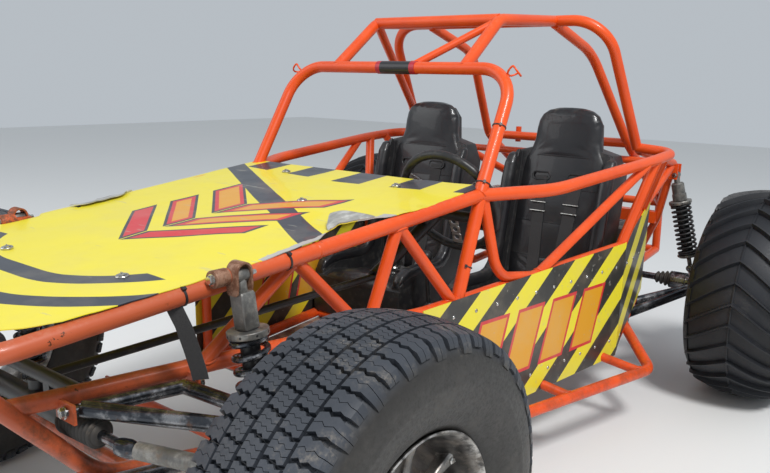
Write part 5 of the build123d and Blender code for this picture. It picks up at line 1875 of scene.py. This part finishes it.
def belt_path(low, low_r, high, high_r, y):
    """The loop of a belt over two pulleys, one above the other."""
    lean = (low_r - high_r) / (high - low)
    count = 18
    path = []
    for z, r, start, sweep in ((high, high_r, -lean, pi + 2 * lean), (low, low_r, pi + lean, pi - 2 * lean)):
        for k in range(count + 1):
            turn = start + sweep * k / count
            path.append((r * cos(turn), y, z + r * sin(turn)))
    return path


CRANK_Z, GENERATOR_Z, FAN_Z = 0.470, 0.640, 0.720
MUFFLER = Vector((0, 1.625, 0.330))
TAILPIPE_END, TAILPIPE_WAY = Vector((-0.190, 1.697, 0.316)), Vector((0, 0.982, -0.190))


def fan_drive(cast, dark, bright):
    """The two pulleys with their belt and the painted shade of their holes, and the generator's shaft and end
    cap.
    """
    for z, r in ((CRANK_Z, 0.074), (GENERATOR_Z, 0.042)):
        groove = [(0.0, r * 0.55), (0.0, r), (0.004, r), (0.010, r - 0.009), (0.016, r), (0.020, r),
                  (0.020, r * 0.62), (0.015, r * 0.55), (0.015, 0.014)]
        cast.turned(groove, (0, 1.604, z), BACK, 56)
        bright.bolt((0, 1.619, z), BACK, 0.010, 0.009)
        # Six dark discs on each pulley's face: painted shade for its holes.
        for u, v in circle(6):
            spot = (r * 0.40 * u, 1.6195, z + r * 0.40 * v)
            dark.turned([(0, r * 0.10), (0.0006, r * 0.10)], spot, BACK, 14)
    cast.turned([(0, 0.014), (0.05, 0.014)], (0, 1.555, GENERATOR_Z), BACK, 20)
    cast.turned([(0.0, 0.030), (0.004, 0.034), (0.036, 0.034), (0.040, 0.030)], (0, 1.555, 0.610), BACK, 32)
    dark.tube(belt_path(CRANK_Z, 0.067, GENERATOR_Z, 0.036, 1.614), 0.0062, 8, loop=True)


def fan_guard(cast, dark):
    """The fan's round guard: a rim, five rings and four crossed bars over a dark disc that paints the
    opening's shade.
    """
    place = Vector((0, 1.330, FAN_Z))
    cast.ring([(-0.004, 0.100), (-0.004, 0.112), (0.002, 0.1125), (0.002, 0.100)], place, BACK, 64)
    # A dark disc behind the rings: painted shade of the opening.
    dark.turned([(-0.0015, 0.098), (-0.0005, 0.098)], place, BACK, 48)
    for inner in [0.022 + 0.016 * k for k in range(5)]:
        outer = inner + 0.003
        cast.ring([(-0.006, inner), (-0.006, outer), (-0.003, outer), (-0.003, inner)], place, BACK, 48)
    for u, v in circle(8)[:4]:
        bar = [place - BACK * 0.0045 + Vector((u, 0, v)) * reach for reach in (-0.104, 0.104)]
        cast.tube(bar, 0.0024, 8)


def air_filter(cast, bright, pleats):
    """The pleated filter between its two end plates, in line with the fan."""
    around = [(0.0575 if k % 2 else 0.0530, u, v) for k, (u, v) in enumerate(circle(96))]
    pleats.loft([[(r * u, at, FAN_Z + r * v) for r, u, v in around] for at in (1.452, 1.524)])
    for at, depth in ((1.444, 0.010), (1.522, 0.012)):
        plate = [(0, 0.050), (0.001, 0.060), (depth - 0.001, 0.060), (depth, 0.050)]
        cast.turned(plate, (0, at, FAN_Z), BACK, 56)
    bright.bolt((0, 1.5335, FAN_Z), BACK, 0.007, 0.008)


def cylinder_fittings(bright, side):
    """The wire bail on one rocker cover, and two bolts on the engine's top."""
    x = 0.3125 * side
    wire = [(x - 0.016 * side, 1.300, 0.548), (x, 1.305, 0.530), (x + 0.002 * side, 1.330, 0.494),
            (x + 0.002 * side, 1.510, 0.494), (x, 1.535, 0.530), (x - 0.016 * side, 1.540, 0.548)]
    bright.tube(wire, 0.0028, 8)
    for y in (1.320, 1.520):
        bright.bolt((0.090 * side, y, 0.5955), UPRIGHT, 0.007, 0.006)


def muffler_fittings(cast, bright, side):
    """An end cap of the muffler, and a strap with its bolt."""
    cap = [(-0.012, 0.0525), (-0.010, 0.0555), (0.000, 0.0555), (0.003, 0.0520), (0.006, 0.030)]
    cast.turned([(at * side, r) for at, r in cap], MUFFLER + ACROSS * (0.230 * side), ACROSS, 48)
    band = [(-0.009, 0.0523), (0.009, 0.0523), (0.009, 0.0545), (-0.009, 0.0545)]
    place = MUFFLER + ACROSS * (0.130 * side)
    bright.ring(band, place, ACROSS, 56)
    bright.bolt(place + UPRIGHT * 0.0545, UPRIGHT, 0.006, 0.008)


def make_engine_parts():
    """The engine's castings, rubber, discs of painted shade, bolts and pleats, gathered by finish."""
    cast, dark, bright, pleats = Form(), Form(), Form(), Form()
    fan_drive(cast, dark, bright)
    fan_guard(cast, dark)
    air_filter(cast, bright, pleats)
    for side, _ in SIDES:
        cylinder_fittings(bright, side)
    for side, _ in SIDES:
        muffler_fittings(cast, bright, side)
    lip = [(-0.004, 0.0185), (-0.004, 0.0222), (0.0, 0.0226), (0.0008, 0.0205), (0.0, 0.0185)]
    cast.ring(lip, TAILPIPE_END - TAILPIPE_WAY * 0.002, TAILPIPE_WAY, 40)
    # A dark disc just inside the tailpipe's mouth: painted shade.
    dark.turned([(-0.001, 0.0186), (0.0004, 0.0186)], TAILPIPE_END - TAILPIPE_WAY * 0.0006, TAILPIPE_WAY, 32)
    cast.piece("engine_castings", ENGINE, "chassis", "engine_metal")
    # The dark piece: the rubber belt, and discs of painted shade in holes and openings.
    dark.piece("engine_rubber_and_shade", PLASTIC, "chassis", "black_plastic")
    bright.piece("engine_bolts", ZINC, "chassis", "bare_alloy")
    pleats.piece("air_filter_pleats", BOOT, "chassis", "black_plastic")


make_engine_parts()


# Stage: pale floor, world and two soft lamps

def make_stage():
    """Lay a plain floor and light the scene softly."""
    bpy.ops.mesh.primitive_plane_add(size=30.0)
    floor = bpy.context.object
    floor.name = "studio_floor"
    look = Look("pale_floor", (0.80, 0.80, 0.79), 0.9, specular=0.1)
    floor.data.materials.append(look.material)
    world = bpy.context.scene.world or bpy.data.worlds.new("studio_world")
    bpy.context.scene.world = world
    world.use_nodes = True
    sky = world.node_tree.nodes["Background"]
    sky.inputs[0].default_value = (0.86, 0.93, 1.0, 1.0)
    sky.inputs[1].default_value = 0.55
    for name, place, aim, size, power in (
        ("key_lamp", (4.2, -2.4, 6.4), (0.2, -0.4, 0.4), 1.6, 440.0),
        ("fill_lamp", (-5.0, -4.5, 4.2), (0.0, 0.0, 0.6), 5.0, 110.0),
    ):
        data = bpy.data.lights.new(name, "AREA")
        data.size = size
        data.energy = power
        lamp = bpy.data.objects.new(name, data)
        lamp.location = place
        lamp.rotation_euler = (Vector(aim) - Vector(place)).to_track_quat("-Z", "Y").to_euler()
        bpy.context.scene.collection.objects.link(lamp)
    bpy.context.scene.view_settings.view_transform = "Standard"


make_stage()
